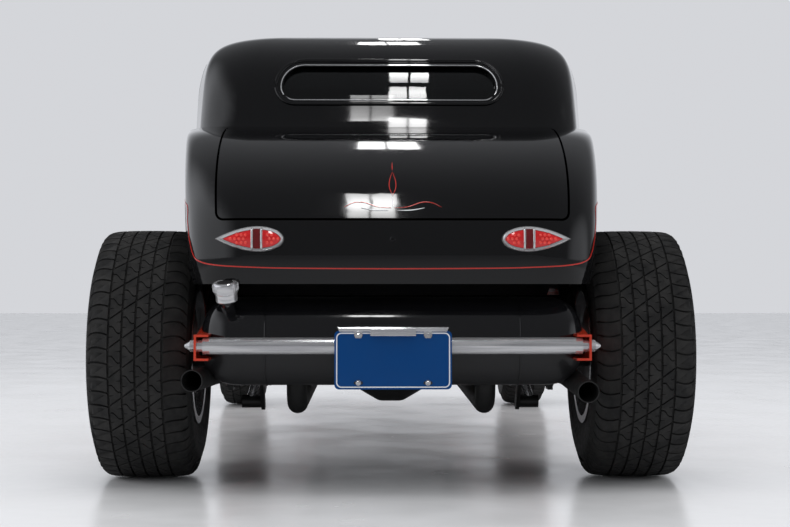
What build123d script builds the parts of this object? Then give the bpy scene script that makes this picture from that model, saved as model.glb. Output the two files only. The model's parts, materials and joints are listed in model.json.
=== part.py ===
"""Fenderless chopped three-window coupe on wide rear tyres, as separate pieces.

Millimetres. +Y points forward, +X to the right, +Z up; the tyres stand on Z = 0 and the
origin is under the middle of the whole car.
"""
import math
import os

from build123d import *

# Stance
wheelbase = 2845
rear_overhang = 500
front_tyre_diameter = 656
rear_tyre_diameter = 711
rear_axle_y = (rear_overhang - front_tyre_diameter / 2 - wheelbase) / 2
rear_axle_z = rear_tyre_diameter / 2
front_axle_y = rear_axle_y + wheelbase
front_axle_z = front_tyre_diameter / 2


def fwd(distance):
    """Y of a place this far ahead of the rear axle."""
    return rear_axle_y + distance


# Rear wheels and tyres
rear_track = 1380
rear_tyre_width = 282
rear_tread_width = 232
tyre_facets = 48
tyre_bulge_share = 0.46
rear_rim_width = 254
rim_diameter = 381
rim_flange_height = 12
rim_flange_wall = 8
barrel_wall = 9
disc_wall = 24
hub_radius = 46
hub_bore_clearance = 0.5
spoke_count = 5
rear_face_offset = 62

# Front wheels and tyres
front_track = 1316
front_tyre_width = 200
front_tread_width = 150
front_rim_width = 178
front_face_offset = 40

# Steering
kingpin_x = 545
kingpin_radius = 11
kingpin_clearance = 0.5
kingpin_boss_radius = 21
kingpin_boss_height = 62
fork_gap = 1
fork_height = 16
steering_arm_length = 160
steering_arm_drop = 66
steering_arm_height = 14
tie_rod_radius = 9
ball_gap = 0.5
spindle_radius = 16
backing_plate_radius = 138
backing_plate_wall = 8

# Frame rails: a C section, open to the inside
rail_web = 6
rail_flange = 38
rail_height = 112
rail_half_width = 572
horn_height = 68
front_horn_height = 60
horn_half_width = 518
horn_end = 478
front_horn_half = 350
front_horn_start = 3060
front_horn_end = 3130
horn_middle = 389
spreader_back = 455
spreader_height = 393
spreader_radius = 22
spreader_neck_radius = 12
front_spreader_ahead = 3108
front_spreader_height = 412
spreader_shoulder_radius = 16
crossmember_height = 48
crossmember_depth = 70

# Body shell
body_wall = 40
sill_height = 400
tail_bottom = 555
belt_height = 1046
roof_wall = 30
tail_half_width = 547
post_half_width = 672
pillar_half_width = 628
cowl_half_width = 478
post_ahead = 620
pillar_ahead = 1500
cowl_ahead = 1800
cowl_top = 1036
cowl_shoulder_radius = 190
body_floor_wall = 6
floor_height = sill_height + body_floor_wall
rear_floor_height = 600
kick_up_ahead = 520
rail_notch = 1
tunnel_half_width = 165
tunnel_height = 560
firewall = 12

# Wheel tubs
arch_radius = 402
tub_wall = 8
tub_inner_x = 532

# Doors, lid and hood
shut_gap = 8
lid_gap = 6
lid_wall = 28
lid_bottom = 728
lid_bottom_half = 463
lid_top_half = 490
lid_top_ahead = 190
lid_corner_radius = 18
door_bottom = 428
door_rear = 626
door_front = 1494
door_top = 1298
cowl_rear = door_front + shut_gap
panel_lap = 6
glass_wall = 5
glass_inset = 16
hood_wall = 10
hood_gap = 6
hood_front_ahead = 2700
hood_split_height = 856
hood_bottom = 470
hood_front_half = 252
hood_front_radius = 150
hinge_rod_radius = 5
hinge_gap = 4

crown = 20
hood_rear_bottom_half = 446
hood_front_bottom_half = 196
rear_window_half = 334
rear_window_low = 1136
rear_window_top = 1247
screen_half_low = 520
screen_half_top = 480
screen_low = 1082
screen_top = 1318

# Axles, springs and links
hub_length = 96
beam_height = 56
beam_depth = 44
beam_flange = 11
beam_web = 18
axle_drop = 100
perch_x = 372
spring_eye_height = 300
leaf_count = 5
leaf_thickness = 8
leaf_width = 44
spring_arch = 36
hairpin_radius = 11
hairpin_front_x = 388
hairpin_rear_x = 421
hairpin_rear_ahead = 2080
hairpin_spread = 32
axle_tube_radius = 38
banjo_radius = 138
banjo_half = 92
banjo_flat = 34
pinion_reach = 150
rear_plate_radius = 140
shock_x = 414
shock_top_x = 322
shock_ahead = 62
shock_low = 212
shock_top_ahead = 104
shock_high = 500
spring_rings = 8
rear_cross_ahead = 112
rear_cross_height = 498
rear_cross_radius = 27
link_x = 462
link_radius = 14
link_ahead = 610

# Engine and driveline
engine_half = 230
engine_front = 2500
engine_rear = 1900
engine_low = 330
engine_high = 850
manifold_rear = 1960
manifold_front = 2300
manifold_height = 520
manifold_depth = 60
manifold_half = 292
engine_mount_ahead = 2205
engine_mount_height = 345
gearbox_rear = 1300
gearbox_front = 1720
driveshaft_radius = 38

# Grille
shell_depth = 92
shell_wall = 34
shell_bottom = 415
shell_bottom_half = 168
grille_bar_wall = 5
grille_bar_depth = 16
grille_bar_pitch = 21
radiator_depth = 62

louvre_count = 14
louvre_first = 1900
louvre_pitch = 52
louvre_lean = 60
louvre_slot = 9
louvre_low = 600
louvre_high = 780

# Headlamps, seat and controls
headlamp_x = 352
headlamp_ahead = 2752
headlamp_height = 768
headlamp_radius = 90
headlamp_depth = 122
headlamp_post_ahead = 2814
headlamp_post_radius = 13
seat_rear = kick_up_ahead + 12
seat_front = 1080
seat_half_width = 560
seat_height = 636
seat_back_height = 1000
dash_low = 870
dash_high = 1002
dash_depth = 34
steering_wheel_x = -330
steering_wheel_ahead = 1178
steering_wheel_height = 905
steering_wheel_radius = 178
steering_rim_radius = 11
column_foot_height = 650
column_radius = 19
spring_top = spring_eye_height + leaf_count * leaf_thickness + spring_arch * 1.1

# Tank, exhaust and tail
tank_half_width = 474
tank_top = 521
tank_bottom = 282
tank_front = -190
tank_rear = -420
tank_ear_ahead = -330
tank_ear_top = 502
tank_ear_wall = 12
exhaust_radius = 29
exhaust_wall = 2.5
exhaust_gap = 8
exhaust_x = engine_half + exhaust_radius + exhaust_gap
exhaust_drop_ahead = 2010
exhaust_low = 214
exhaust_end = 462
exhaust_rise_ahead = -116
exhaust_rise = 336
exhaust_out = 486
exhaust_out_height = 306
left_tip = (525, 302)
right_tip = (512, 272)
plate_width = 305
plate_height = 152
plate_wall = 2
plate_centre_z = 357
plate_back = 484
plate_hole_x = 178
plate_hole_z = 121
plate_hole_radius = 3.5
filler_x = 449
filler_ahead = -470
filler_top = 558
filler_neck_radius = 27
filler_neck_length = 52
filler_cap_radius = 30.5
filler_cap_depth = 24
filler_stub_radius = 17
filler_stub_start = -372
lamp_height = 672
lamp_inner_x = 285
lamp_tip_x = 464
lamp_half_height = 34
lamp_bezel_width = 6
lamp_back = 484
lens_depth = 8


def block(x0, x1, y0, y1, z0, z1):
    """Box between two corners."""
    centre = Pos((x0 + x1) / 2, (y0 + y1) / 2, (z0 + z1) / 2)
    return centre * Box(abs(x1 - x0), abs(y1 - y0), abs(z1 - z0))


def rod(start, end, radius):
    """Round bar between two points."""
    axis = Vector(*end) - Vector(*start)
    return Solid.make_cylinder(radius, axis.length, Plane(origin=start, z_dir=axis))


def outline(points, radii):
    """Face inside a closed outline with one corner radius for each point."""
    return make_face(FilletPolyline(*points, radius=radii, close=True))


def side_prism(points, radii, x0, x1):
    """Side-view outline of (y, z) points, solid from x0 to x1."""
    return extrude(Plane.YZ.offset(x0) * outline(points, radii), x1 - x0)


def rear_prism(points, radii, y0, y1):
    """Rear-view outline of (x, z) points, solid from y0 to y1."""
    plane = Plane(origin=(0, y1, 0), x_dir=(1, 0, 0), z_dir=(0, -1, 0))
    return extrude(plane * outline(points, radii), y1 - y0)


def plan_prism(points, radii, z0, z1):
    """Plan outline of (x, y) points, solid from z0 to z1."""
    return extrude(Plane.XY.offset(z0) * outline(points, radii), z1 - z0)


def tube(points, bends, radius, wall=0):
    """Round pipe along a route of straight runs and bends; solid where wall is 0."""
    route = FilletPolyline(*points, radius=bends)
    section = Plane(origin=route @ 0, z_dir=route % 0) * Circle(radius)
    if wall:
        section -= Plane(origin=route @ 0, z_dir=route % 0) * Circle(radius - wall)
    return sweep(section, path=route)


def mirrored(shape):
    """The same shape on the other side of the car."""
    return mirror(shape, Plane.YZ)


# Body levels: height, tail behind (-) or ahead (+) of the rear axle, tuck of the sides
# inside their widest line, rear corner radius
body_levels = (
    (380, -430, 34, 150),
    (555, -447, 17, 165),
    (640, -458, 8, 180),
    (728, -440, 3, 195),
    (815, -378, 0, 205),
    (895, -262, 0, 205),
    (960, -110, 2, 195),
    (1010, 70, 6, 180),
    (belt_height, 285, 14, 160),
)

# Roof levels: height, rear edge, front edge, half width at the posts, rear corner radius
roof_levels = (
    (belt_height - 8, 272, 1560, 640, 170),
    (1150, 318, 1524, 636, 170),
    (1260, 392, 1478, 626, 170),
    (1330, 492, 1424, 598, 165),
    (1376, 622, 1352, 536, 155),
    (1404, 778, 1240, 420, 130),
    (1416, 880, 1150, 262, 40),
)


post_share = 0.27
post_bend_share = 0.2
rear_narrowing = 66
front_narrowing = 54


def leans(profile):
    """Sine and cosine of each level's outward normal above the horizontal."""
    result = []
    for i in range(len(profile)):
        across0, up0 = profile[max(i - 1, 0)]
        across1, up1 = profile[min(i + 1, len(profile) - 1)]
        length = math.hypot(across1 - across0, up1 - up0)
        result.append((abs(across1 - across0) / length, abs(up1 - up0) / length))
    return result


def body_form(inset):
    """Outer form of the lower body, with its skin moved in by a wall."""
    lean = leans([(tail, height) for height, tail, tuck, corner in body_levels])
    tail_base = body_levels[0][1]
    sections = []
    for (height, tail, tuck, corner), (rise, level) in zip(body_levels, lean):
        side = inset + tuck
        rear = tail + inset * level
        along = (tail - tail_base) / (post_ahead - tail_base)
        rear_half = tail_half_width + (post_half_width - tail_half_width) * along
        points = [
            (rear_half - side, fwd(rear)),
            (post_half_width - side, fwd(post_ahead)),
            (pillar_half_width - side, fwd(pillar_ahead)),
            (cowl_half_width - side, fwd(cowl_ahead - (firewall if inset else 0))),
        ]
        points += [(-x, y) for x, y in reversed(points)]
        bends = [corner - inset / 2, 1300, 500, 10]
        sections.append(
            Plane.XY.offset(height - inset * rise) * outline(points, bends + bends[::-1])
        )
    return loft(sections)


def roof_section(level, lean, inset):
    """Plan outline of one roof level, moved in by a wall, and the height it lies at."""
    height, rear, front, half, corner = level
    rise, across = lean
    step = inset * across
    points = [
        (half - rear_narrowing + 20 * rise - step, fwd(rear + step)),
        (half - step, fwd(rear + (front - rear) * post_share)),
        (half - front_narrowing - step, fwd(front - step)),
    ]
    points += [(-x, y) for x, y in reversed(points)]
    bends = [corner - inset / 4, (front - rear) * post_bend_share, 40]
    return points, bends + bends[::-1], height - inset * rise


def roof_form(inset):
    """Outer form of the cabin above the belt, with its skin moved in by a wall."""
    lean = leans([(half, height) for height, rear, front, half, corner in roof_levels])
    sections = []
    for level, slope in zip(roof_levels, lean):
        points, bends, height = roof_section(level, slope, inset)
        sections.append(Plane.XY.offset(height) * outline(points, bends))
    return loft(sections)


def cross_section(ahead, half, top, shoulder, bottom, bottom_half):
    """Rear-view section of cowl, hood or grille shell: crowned top and round shoulders."""
    side = (half, top - crown - shoulder * 1.2)
    points = [(bottom_half, bottom), side, (half, top - crown), (0, top)]
    points += [(-x, z) for x, z in reversed(points[:3])]
    bends = [0, 200, shoulder, 900, shoulder, 200, 0]
    plane = Plane(origin=(0, fwd(ahead), 0), x_dir=(1, 0, 0), z_dir=(0, -1, 0))
    return plane * outline(points, bends)


def cowl_form(inset):
    """The cowl narrows from the doors' upright sides to the hood's round shoulders."""
    rear = cross_section(cowl_rear, pillar_half_width + 40 - inset, belt_height + 1 - inset,
                         50, sill_height - 30, pillar_half_width + 20 - inset)
    front = cross_section(cowl_ahead, cowl_half_width - inset, cowl_top - inset,
                          cowl_shoulder_radius - inset, sill_height - 30,
                          hood_rear_bottom_half - 6 - inset)
    return loft([rear, front])


def hood_form(inset):
    """Hood line from the cowl to the grille shell."""
    rear = cross_section(cowl_ahead, cowl_half_width - inset, cowl_top - inset,
                         cowl_shoulder_radius - inset, hood_bottom, hood_rear_bottom_half - inset)
    front = cross_section(hood_front_ahead, hood_front_half - inset, cowl_top - inset,
                          hood_front_radius - inset, hood_bottom, hood_front_bottom_half - inset)
    return loft([rear, front])


def shell_points(inset):
    """Outline of the grille shell, narrow at the foot."""
    half = hood_front_half - inset
    points = [(shell_bottom_half - inset, shell_bottom + inset), (half, cowl_top - 260),
              (half, cowl_top - crown - inset), (0, cowl_top - inset)]
    points += [(-x, z) for x, z in reversed(points[:3])]
    corner = hood_front_radius - inset
    return points, [30 - inset / 2, 300, corner, 900, corner, 300, 30 - inset / 2]


def body_void(wall):
    """Space inside the lower body and the roof, the way between them open."""
    lower = body_form(wall)
    ahead = block(-900, 900, fwd(cowl_rear), fwd(cowl_ahead + 10), 0, 1500)
    lower = lower - (ahead - cowl_form(wall))
    lean = leans([(half, height) for height, rear, front, half, corner in roof_levels])
    points, bends, height = roof_section(roof_levels[0], lean[0], roof_wall)
    neck = plan_prism(points, bends, belt_height - 90, height + 10)
    return lower, roof_form(roof_wall), neck


def tub_cylinder(radius, inner_x):
    """Round space about a rear wheel, on the right."""
    return rod((inner_x, rear_axle_y, rear_axle_z), (900, rear_axle_y, rear_axle_z), radius)


def both(shape):
    """A shape and its mirror image."""
    return shape + mirrored(shape)


body_outer = body_form(0)
body_outer -= block(-900, 900, fwd(cowl_rear), fwd(cowl_ahead + 10), 0, 1500) - cowl_form(0)
lower_void, upper_void, neck_void = body_void(body_wall)
tub_outer = both(tub_cylinder(arch_radius + tub_wall, tub_inner_x - tub_wall))
tub_space = both(tub_cylinder(arch_radius, tub_inner_x))
cabin_space = lower_void - tub_outer

# Doors: outlines in side view, (ahead of the rear axle, height)
door_points = [(door_rear, door_bottom), (door_front, door_bottom), (door_front, belt_height),
               (door_front - 104, door_top), (door_rear + 10, door_top)]
window_points = [(door_rear + 62, belt_height + 36), (door_front - 66, belt_height + 36),
                 (door_front - 148, door_top - 46), (door_rear + 68, door_top - 46)]
door_corners = [30, 30, 200, 45, 60]
window_corners = [36, 36, 36, 50]


def place(points):
    """Side-view points, ahead of the rear axle, as (y, z)."""
    return [(fwd(ahead), height) for ahead, height in points]


def grown(points, gap):
    """Door outline moved out by the shut gap."""
    (rear, low), (front, _), (_, belt), (top_front, top), (top_rear, _) = points
    return [(rear - gap, low - gap), (front + gap, low - gap), (front + gap, belt),
            (top_front + gap, top + gap), (top_rear - gap, top + gap)]


door_prism = side_prism(place(door_points), door_corners, 300, 800)
door_opening = side_prism(place(grown(door_points, shut_gap)), door_corners, 300, 800)
side_window = side_prism(place(window_points), window_corners, 300, 800)

# Deck lid: rear-view outline and the line across the deck where it is hinged
deck_lean = math.atan2(belt_height - 1010, 285 - 70)
deck_height_at_hinge = 1010 + (lid_top_ahead - 70) * math.tan(deck_lean)


def lid_region(gap):
    """Solid that cuts the lid, or its opening, out of the tail."""
    high = belt_height + 80
    slope = (lid_top_half - lid_bottom_half) / (deck_height_at_hinge - lid_bottom)
    top_half = lid_bottom_half + slope * (high - lid_bottom)
    points = [(lid_bottom_half + gap, lid_bottom - gap), (top_half + gap, high)]
    points += [(-x, z) for x, z in reversed(points)]
    corners = [lid_corner_radius + gap, 0, 0, lid_corner_radius + gap]
    seen = rear_prism(points, corners, fwd(-rear_overhang), fwd(450))
    edge = lid_top_ahead + gap
    rise = math.tan(deck_lean)
    side = [(-600, 500), (-600, high), (edge - rise * (high - deck_height_at_hinge), high),
            (edge + rise * 90, deck_height_at_hinge - 90), (edge + rise * 90, 500)]
    return seen & side_prism(place(side), [0, 0, 0, 0, 0], -700, 700)


rear_window_points = [(rear_window_half, rear_window_low), (rear_window_half - 4, rear_window_top)]
rear_window_points += [(-x, z) for x, z in reversed(rear_window_points)]
rear_window_hole = rear_prism(rear_window_points, [28, 66, 66, 28], fwd(150), fwd(700))
screen_points = [(screen_half_low, screen_low), (screen_half_top, screen_top)]
screen_points += [(-x, z) for x, z in reversed(screen_points)]
screen_hole = rear_prism(screen_points, [30, 40, 40, 30], fwd(1200), fwd(1700))


def make_lower_body():
    """Lower body in two panels: quarters with the tail, and the cowl."""
    shell = body_outer - cabin_space - tub_space - neck_void - upper_void
    low = [(-700, 200), (-700, tail_bottom), (0, tail_bottom), (0, sill_height), (2000, sill_height),
           (2000, 200)]
    shell -= side_prism(place(low), [0] * 6, -900, 900)
    shell -= block(-tub_inner_x - 1, tub_inner_x + 1, fwd(-300), fwd(kick_up_ahead),
                   200, rear_floor_height - body_floor_wall)
    shell -= both(door_opening)
    shell -= lid_region(lid_gap)
    split = fwd(cowl_rear - panel_lap)
    rear = shell & block(-900, 900, fwd(-700), split, 200, 1200)
    cowl = shell & block(-900, 900, split, fwd(2000), 200, 1200)
    cowl -= block(-tunnel_half_width, tunnel_half_width, split, fwd(2000), 200, tunnel_height)
    hinge = rod((0, fwd(cowl_ahead), cowl_top), (0, fwd(hood_front_ahead + hood_gap), cowl_top),
                hinge_rod_radius)
    return rear, cowl + hinge


def make_roof():
    shell = roof_form(0) - body_outer - upper_void - neck_void
    return shell - both(door_opening) - rear_window_hole - screen_hole


def make_door():
    """Right door: lower panel and window frame in one, 40 mm thick below the belt."""
    lower = (body_outer & door_prism) - cabin_space - neck_void - upper_void
    upper = (roof_form(0) & door_prism) - body_outer - upper_void - neck_void
    return lower + upper - side_window


def make_glass():
    """Panes that follow the cabin's sides, a little inside its skin."""
    pane = roof_form(glass_inset) - roof_form(glass_inset + glass_wall)
    return pane & side_window, pane & rear_window_hole, pane & screen_hole


def make_lid():
    region = lid_region(0)
    return (body_outer & region) - body_form(lid_wall)


def make_floor():
    """Floor with the tunnel, a riser notched round the rails and the floor of the tail."""
    wall = body_floor_wall
    riser = kick_up_ahead
    low, high = floor_height, rear_floor_height
    line = [(cowl_ahead - firewall, low), (riser, low), (riser, high), (-440, high),
            (-440, high - wall), (riser - wall, high - wall), (riser - wall, low - wall),
            (cowl_ahead - firewall, low - wall)]
    floor = side_prism(place(line), [0] * 8, -700, 700)
    half, top = tunnel_half_width, tunnel_height
    front = fwd(cowl_ahead - firewall)
    tunnel = block(-half - wall, half + wall, fwd(riser), front, low - wall, top)
    hollow = block(-half, half, fwd(riser), front + 1, 0, top - wall)
    notch = rail_band(-rail_notch, rail_flange + rail_notch) & rail_profile(-rail_notch)
    return ((floor + tunnel - hollow) & cabin_space) - both(notch)


# Frame rail in plan: (ahead, outer face) and in side view: (ahead, middle, height)
rail_middle = sill_height - rail_height / 2
rail_plan = ((-horn_end, horn_half_width), (430, horn_half_width), (640, rail_half_width),
             (1150, rail_half_width), (1500, 545), (1850, 432), (2450, 366),
             (front_horn_start, front_horn_half), (front_horn_end, front_horn_half))
rail_side = ((-horn_end, horn_middle, horn_height), (-400, horn_middle, horn_height),
             (-230, 410, 72), (-70, 498, 98), (130, 500, 104), (330, 440, rail_height),
             (kick_up_ahead, rail_middle, rail_height), (2300, rail_middle, rail_height),
             (2650, 382, 92), (2860, 398, 76), (front_horn_start, front_spreader_height, front_horn_height),
             (front_horn_end, front_spreader_height, front_horn_height))


def along(table, ahead, column):
    """Value in one column of a rail table at a place between its rows."""
    for before, after in zip(table, table[1:]):
        if before[0] <= ahead <= after[0]:
            share = (ahead - before[0]) / (after[0] - before[0])
            return before[column] + (after[column] - before[column]) * share


def rail_outer(ahead):
    """X of the rail's outer face."""
    return along(rail_plan, ahead, 1)


def rail_top(ahead):
    """Height of the rail's upper face."""
    return along(rail_side, ahead, 1) + along(rail_side, ahead, 2) / 2


def rail_band(outer_step, inner_step):
    """Plan strip that follows the rail, between two steps inside its outer face."""
    points = [(x - outer_step, fwd(ahead)) for ahead, x in rail_plan]
    points += [(x - inner_step, fwd(ahead)) for ahead, x in reversed(rail_plan)]
    bends = [0] + [60] * (len(rail_plan) - 2) + [0]
    return plan_prism(points, bends * 2, 200, 700)


def rail_profile(step):
    """Side view of the rail, its flanges moved in by a step."""
    points = [(fwd(ahead), z + height / 2 - step) for ahead, z, height in rail_side]
    points += [(fwd(ahead), z - height / 2 + step) for ahead, z, height in reversed(rail_side)]
    bends = [0] + [50] * (len(rail_side) - 2) + [0]
    return extrude(Plane.YZ.offset(200) * outline(points, bends * 2), 500)


def make_rail():
    """Right rail: web outside, flanges towards the middle of the car."""
    rail = rail_band(0, rail_flange) & rail_profile(0)
    rail -= rail_band(rail_web, rail_flange + 1) & rail_profile(rail_web)
    for ahead, height in ((-spreader_back, spreader_height),
                          (front_spreader_ahead, front_spreader_height)):
        rail -= rod((300, fwd(ahead), height), (600, fwd(ahead), height), spreader_neck_radius + 0.2)
    return rail


def make_spreader(ahead, height, outer):
    """Round bar between the horns, necked at the web, with an acorn nut outside."""
    inner = outer - rail_web
    end = inner - 16
    y = fwd(ahead)
    bar = rod((-end, y, height), (end, y, height), spreader_radius)
    bar += rod((-outer - 6, y, height), (outer + 6, y, height), spreader_neck_radius)
    bar += both(rod((end - 1, y, height), (inner, y, height), spreader_shoulder_radius))
    nut = Plane(origin=(outer, y, height), z_dir=(1, 0, 0))
    bar += both(extrude(nut * RegularPolygon(15, 6), 12))
    bar += both(Solid.make_cone(13, 4, 14, Plane(origin=(outer + 12, y, height), z_dir=(1, 0, 0))))
    return bar


def make_wheel(rim_width, face_offset, bore):
    """Five-spoke wheel about the X axis; its face is on the +X side."""
    seat = rim_diameter / 2
    inner = seat - barrel_wall
    half = rim_width / 2
    flange = rim_flange_wall
    lip = seat + rim_flange_height
    well = 16
    barrel = Polyline((-half - flange, inner), (-half - flange, lip), (-half, lip), (-half, seat),
                      (half, seat), (half, lip), (half + flange, lip), (half + flange, inner),
                      (half * 0.35, inner), (half * 0.25, inner - well), (-half * 0.25, inner - well),
                      (-half * 0.35, inner), close=True)
    wheel = revolve(make_face(barrel), Axis.X)
    face = face_offset
    disc = Polyline((face - disc_wall, bore), (face - disc_wall, hub_radius),
                    (face - disc_wall * 0.8, inner + 1), (face, inner + 1),
                    (face - disc_wall * 0.35, inner * 0.55), (face + 6, hub_radius + 22),
                    (face + 14, hub_radius), (face + 14, bore), close=True)
    spokes = revolve(make_face(disc), Axis.X)
    near, far = hub_radius + 24, inner - 12
    window = [(near, -10), (far, -far * 0.40), (far + 6, 0), (far, far * 0.40), (near, 10)]
    hole = extrude(Plane.YZ.offset(face - 60) * outline(window, [8, 22, 60, 22, 8]), 120)
    for i in range(spoke_count):
        spokes -= Rot(X=360 / spoke_count * i + 18) * hole
    hub = Polyline((-hub_length + face, bore), (-hub_length + face, hub_radius),
                   (face - 1, hub_radius), (face - 1, bore), close=True)
    cap = Polyline((face + 13, 0), (face + 13, 34), (face + 34, 30), (face + 40, 0), close=True)
    return wheel + spokes + revolve(make_face(hub), Axis.X) + revolve(make_face(cap), Axis.X)


def make_tyre(diameter, width, tread, rim_width):
    """Tyre about the X axis: flat facets between rings, with a slightly crowned tread."""
    seat = rim_diameter / 2 + 0.3
    crown = diameter / 2
    bulge = seat + (crown - seat) * tyre_bulge_share
    rings = [(rim_width / 2 - 0.5, seat + rim_flange_height + 3), (width / 2, bulge),
             (tread / 2 + 6, crown - 14), (tread / 2 - 14, crown - 3)]
    rings += [(0, crown)] + [(-x, radius) for x, radius in reversed(rings)]
    tyre = loft([Plane.YZ.offset(x) * RegularPolygon(radius, tyre_facets) for x, radius in rings],
                ruled=True)
    return tyre - rod((-width, 0, 0), (width, 0, 0), seat)


def make_knuckle():
    """Right knuckle: fork about the axle boss, kingpin, spindle, plate and steering arm."""
    y, z, x = front_axle_y, front_axle_z, kingpin_x
    half = kingpin_boss_height / 2 + fork_gap
    pin = rod((x, y, z - half - fork_height), (x, y, z + half + fork_height), kingpin_radius)
    knuckle = pin
    for side in (-1, 1):
        low = z + side * (half + fork_height / 2) - fork_height / 2
        ear = plan_prism([(x - 22, y - 22), (x + 44, y - 22), (x + 44, y + 22), (x - 22, y + 22)],
                         [20, 0, 0, 20], low, low + fork_height)
        knuckle += ear
    knuckle += block(x + 26, x + 44, y - 22, y + 22, z - half - fork_height, z + half + fork_height)
    plate_x = x + 44
    knuckle += rod((plate_x, y, z), (plate_x + backing_plate_wall, y, z), backing_plate_radius)
    knuckle += rod((plate_x, y, z), (front_track / 2 + front_face_offset, y, z), spindle_radius)
    arm_z = z - steering_arm_drop
    back = y - steering_arm_length
    top = arm_z + steering_arm_height
    knuckle += plan_prism([(x - 12, back - 12), (x + 12, back - 12), (x + 12, y), (x - 12, y)],
                          [12, 12, 0, 0], arm_z, top)
    knuckle += block(x - 12, x + 12, y - 14, y + 12, arm_z, z - half - fork_height + 1)
    return knuckle


def make_tie_rod():
    """Rod between the steering arms, its ball ends just under them."""
    y = front_axle_y - steering_arm_length
    top = front_axle_z - steering_arm_drop - ball_gap
    z = top - 14
    bar = rod((-kingpin_x, y, z), (kingpin_x, y, z), tie_rod_radius)
    return bar + both(rod((kingpin_x, y, z - 13), (kingpin_x, y, top), 13))


def make_front_axle():
    """Dropped beam axle with kingpin bosses at its ends."""
    z = front_axle_z
    half = beam_height / 2
    drop = axle_drop
    line = ((0, -drop), (kingpin_x - 175, -drop), (kingpin_x - 70, 0), (kingpin_x, 0))
    points = [(x, z + dz + half) for x, dz in line] + [(x, z + dz - half) for x, dz in reversed(line)]
    bends = [0, 70, 70, 0, 0, 70, 70, 0]
    beam = rear_prism(points, bends, front_axle_y - beam_depth / 2, front_axle_y + beam_depth / 2)
    reach = kingpin_x - 175
    low, high = z - drop - half + beam_flange, z - drop + half - beam_flange
    for side in (-1, 1):
        beam -= block(-1, reach, front_axle_y + side * beam_web / 2,
                      front_axle_y + side * beam_depth, low, high)
    boss_half = kingpin_boss_height / 2
    beam += rod((kingpin_x, front_axle_y, z - boss_half), (kingpin_x, front_axle_y, z + boss_half),
                kingpin_boss_radius)
    beam -= rod((kingpin_x, front_axle_y, z - 100), (kingpin_x, front_axle_y, z + 100),
                kingpin_radius + kingpin_clearance)
    perch = rod((perch_x, front_axle_y, z - drop), (perch_x, front_axle_y, spring_eye_height), 13)
    return both(beam + perch)


def make_front_spring():
    """Transverse leaf spring: stacked leaves, arched over the axle."""
    leaves = None
    y = front_axle_y
    for i in range(leaf_count):
        reach = perch_x * (1 - i / (leaf_count + 1))
        base = spring_eye_height + (i + 1) * leaf_thickness
        arch = spring_arch * (reach / perch_x) ** 2
        end = base + spring_arch - arch
        middle = base + spring_arch * 1.1
        points = [(-reach, end), (0, middle), (reach, end), (reach, end - leaf_thickness),
                  (0, middle - leaf_thickness), (-reach, end - leaf_thickness)]
        leaf = rear_prism(points, [0, 1500, 0, 0, 1500, 0], y - leaf_width / 2, y + leaf_width / 2)
        leaves = leaf if leaves is None else leaves + leaf
    return leaves + block(-34, 34, y - 30, y + 30, spring_eye_height + 30, spring_top)


def make_rear_axle():
    """Banjo housing with its tubes, pinion snout, brake plates and shock brackets."""
    y, z = rear_axle_y, rear_axle_z
    end = rear_track / 2 - rear_rim_width / 2 + 22
    tip = rear_track / 2 + rear_face_offset
    half = [(-tip, 0), (-tip, spindle_radius), (-end, spindle_radius), (-end, rear_plate_radius),
            (-end + 10, rear_plate_radius), (-end + 10, axle_tube_radius),
            (-banjo_half - 60, axle_tube_radius), (-banjo_half, banjo_radius - 34),
            (-banjo_flat, banjo_radius)]
    profile = half + [(-x, r) for x, r in reversed(half)]
    bends = [0, 0, 0, 0, 0, 0, 30, 26, 40]
    housing = Pos(0, y, z) * revolve(outline(profile, bends + bends[::-1]), Axis.X)
    housing += Solid.make_cone(84, 52, pinion_reach, Plane(origin=(0, y + 60, z), z_dir=(0, 1, 0)))
    bracket = side_prism([(y - 30, z - 20), (y + shock_ahead + 24, shock_low - 24),
                          (y + shock_ahead - 24, shock_low - 24), (y - 38, z - 90)],
                         [0, 14, 14, 0], shock_x - 46, shock_x - 36)
    return housing + both(bracket)


def make_coilover():
    """Right coil-over, leaning inward: lower eye, damper body and the spring as rings."""
    low = (shock_x, fwd(shock_ahead), shock_low)
    high = (shock_top_x, fwd(shock_top_ahead), shock_high)
    start, finish = Vector(*low), Vector(*high)
    axis = finish - start
    length = axis.length
    unit = axis / length
    strut = rod(low, high, 14)
    strut += rod(tuple(start + unit * (length * 0.2)), tuple(start + unit * (length * 0.86)), 35)
    for i in range(spring_rings):
        middle = start + unit * (length * (0.25 + 0.56 * i / (spring_rings - 1)))
        strut += rod(tuple(middle - unit * 5), tuple(middle + unit * 5), 43)
    for at in (0.19, 0.87):
        middle = start + unit * (length * at)
        strut += rod(tuple(middle - unit * 4), tuple(middle + unit * 4), 46)
    strut += rod((shock_x - 36, low[1], low[2]), (shock_x + 22, low[1], low[2]), 20)
    return strut


def make_hood():
    """Right hood half, and both hood sides."""
    panel = hood_form(0) - hood_form(hood_wall)
    front = hood_front_ahead
    top = panel & block(hinge_rod_radius + hinge_gap, 700, fwd(cowl_ahead + hood_gap), fwd(front),
                        hood_split_height, 1200)
    side = panel & block(0, 700, fwd(cowl_ahead), fwd(front), hood_bottom,
                         hood_split_height - hood_gap)
    pitch = louvre_pitch
    for i in range(louvre_count):
        ahead = louvre_first + i * pitch
        lean = louvre_lean
        slot = [(ahead - lean / 2, louvre_low), (ahead - lean / 2 + louvre_slot, louvre_low),
                (ahead + lean / 2 + louvre_slot, louvre_high), (ahead + lean / 2, louvre_high)]
        side -= side_prism(place(slot), [0] * 4, 100, 700)
    return top, both(side)


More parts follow.
